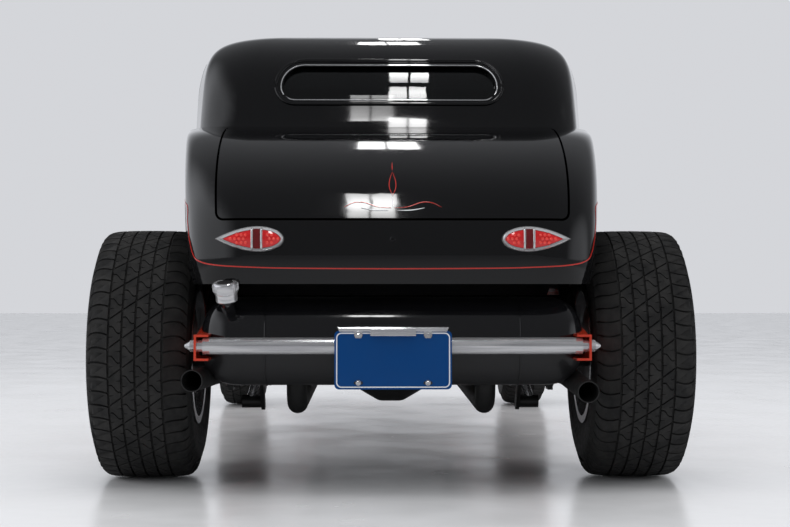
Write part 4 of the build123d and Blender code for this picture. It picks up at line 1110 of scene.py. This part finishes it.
def makeSeat():
    base = padded("seatBase", seatSet["base"], (0, 1))
    back = padded("seatBack", seatSet["back"], (1, 0.3))
    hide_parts("seat")
    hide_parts("seat")


makeSeat()
print("seat made")


# Studio: pale floor and backdrop, soft lamps, and overhead window lights that mark the paint
studioSet = {"floor": (0.90, 0.90, 0.91), "floorMirrored": (0.42, 0.42, 0.43), "reach": 30,
             "walls": (0.66, 0.67, 0.70), "mirrored": (0.93, 0.95, 1.0), "air": (0.9, 0.92, 0.95),
             "fill": 0.6, "ceiling": 0.17,
             # what the paint mirrors round about: how bright, from where to where, and where it fades upwards
             "left": 0.70, "leftSpan": (-0.80, -0.42), "leftTop": (0.55, 0.92),
             "front": 0.60, "frontSpan": (0.55, 0.98), "frontTop": (0.15, 0.45),
             "right": 0.50, "rightSpan": (0.86, 0.99)}


def makeFloorPaint():
    # the car mirrors a darker floor than the camera sees
    paint = newMaterial("paleFloor", studioSet["floor"], 0.22)
    roughFrom(paint, noiseOn(paint, 3), 0.16, 0.28)
    tree = paint.node_tree
    dim = addNode(tree, "ShaderNodeBsdfDiffuse", Color=(*studioSet["floorMirrored"], 1))
    rays = addNode(tree, "ShaderNodeLightPath").outputs
    mixed = mixShaders(tree, rays["Is Glossy Ray"], shaderOf(paint), dim)
    tree.links.new(mixed.outputs["Shader"], tree.nodes["Material Output"].inputs["Surface"])
    return paint


def makeStudio():
    size = studioSet
    finish["floor"] = makeFloorPaint()
    corners = [(x * size["reach"], y * size["reach"], 0) for x, y in ((-1, -1), (1, -1), (1, 1), (-1, 1))]
    floor = addMesh("studioFloor", corners, [(0, 1, 2, 3)], "floor")
    world = bpy.data.worlds.new("studioWorld")
    world.use_nodes = True
    scene.world = world
    tree = world.node_tree
    tree.nodes.clear()

    def light(colour, strength):
        return addNode(tree, "ShaderNodeBackground", Color=(*colour, 1), Strength=strength)

    def softStep(value, span, low, high):
        return mapped(tree, value, *size[span], low, high, smooth=True)

    # paint and metal mirror a dim ceiling, pale walls in front and on the left, and a strip on the right
    way = addNode(tree, "ShaderNodeTexCoord").outputs["Generated"]
    axes = addNode(tree, "ShaderNodeSeparateXYZ", Vector=way).outputs
    x, y, z = axes["X"], axes["Y"], axes["Z"]
    left = combined(tree, softStep(x, "leftSpan", size["left"], 0), softStep(z, "leftTop", 1, 0))
    front = combined(tree, softStep(y, "frontSpan", 0, size["front"]), softStep(z, "frontTop", 1, 0))
    right = softStep(x, "rightSpan", size["ceiling"], size["ceiling"] + size["right"])
    glow = combined(tree, combined(tree, left, front, "ADD"), right, "ADD")
    rays = addNode(tree, "ShaderNodeLightPath").outputs
    seen = combined(tree, rays["Is Camera Ray"], rays["Is Transmission Ray"], "MAXIMUM")
    around = mixShaders(tree, rays["Is Glossy Ray"], light(size["air"], size["fill"]),
                        light(size["mirrored"], glow))
    backdrop = mixShaders(tree, seen, around, light(size["walls"], 1))
    addNode(tree, "ShaderNodeOutputWorld", Surface=backdrop.outputs["Shader"])


def addLamp(name, place, aim, width, height, watts, mirrorOnly=False, spread=180):
    data = bpy.data.lights.new(name, "AREA")
    data.shape = "RECTANGLE"
    data.size = width
    data.size_y = height
    data.energy = watts
    data.spread = math.radians(spread)
    lamp = bpy.data.objects.new(name, data)
    lamp.location = place
    back = (Vector(place) - Vector(aim)).normalized()
    side = (Vector((1, 0, 0)) - back * back.x).normalized()  # keeps the lamp's width level
    lamp.rotation_euler = Matrix((side, back.cross(side), back)).transposed().to_euler()
    lamp.visible_camera = False
    lamp.visible_glossy = mirrorOnly
    lamp.visible_diffuse = not mirrorOnly
    scene.collection.objects.link(lamp)
    return lamp


# Soft lamps, which light the car and the floor but aren't mirrored
softSet = {
    "softTop": {"place": (0, -0.5, 5.2), "aim": (0, -0.3, 0), "width": 5, "height": 6, "watts": 150},
    "softLeft": {"place": (-6, -3.0, 3.0), "aim": (0, -0.5, 0.6), "width": 3, "height": 3, "watts": 90},
    "softRight": {"place": (6, -2.5, 3.0), "aim": (0, -0.5, 0.6), "width": 3, "height": 3, "watts": 70},
}

# Window lights above the car, which show only as reflections: columns in X, rows in Y
paneSet = {
    "window": {"columns": ((0.011, 0.079), (0.088, 0.154)), "rows": ((-1.284, -0.93), (-1.787, -1.402)),
               "height": 2.0, "glow": 1.3, "aim": (0.08, -1.01, 1.19), "spread": 46},
    "lid": {"columns": ((-0.139, -0.063), (-0.054, 0.032)), "rows": ((-2.707, -1.759),), "height": 2.0,
            "glow": 1.8, "aim": (-0.05, -1.76, 0.76), "spread": 54},
    "front": {"columns": ((-0.16, 0.06), (0.087, 0.34)), "rows": ((4.5, 6.4),), "height": 6.0, "glow": 6},
    "far": {"columns": ((0.04, 0.28), (0.31, 0.56)), "rows": ((9.0, 13.0),), "height": 6.0, "glow": 5},
}


def addPanes():
    # they shine on the car alone, so that the floor stays free of glints
    car = bpy.data.collections.new("mirroringParts")
    for obj in scene.objects:
        if obj.type == "MESH" and obj.name != "studioFloor":
            car.objects.link(obj)
    for name, size in paneSet.items():
        for x0, x1 in size["columns"]:
            for y0, y1 in size["rows"]:
                x, y, z = (x0 + x1) / 2, (y0 + y1) / 2, size["height"]
                aim = Vector(size.get("aim", (x, y, 0)))
                fall = abs((aim - Vector((x, y, z))).normalized().z)  # a tilted pane looks longer
                width, depth = x1 - x0, (y1 - y0) * fall
                watts = size["glow"] * math.pi * width * depth
                pane = addLamp(f"{name}Pane", (x, y, z), aim, width, depth, watts, True,
                               size.get("spread", 180))
                pane.light_linking.receiver_collection = car


makeStudio()
for name, lamp in softSet.items():
    addLamp(name, **lamp)
addPanes()
print("studio lit")
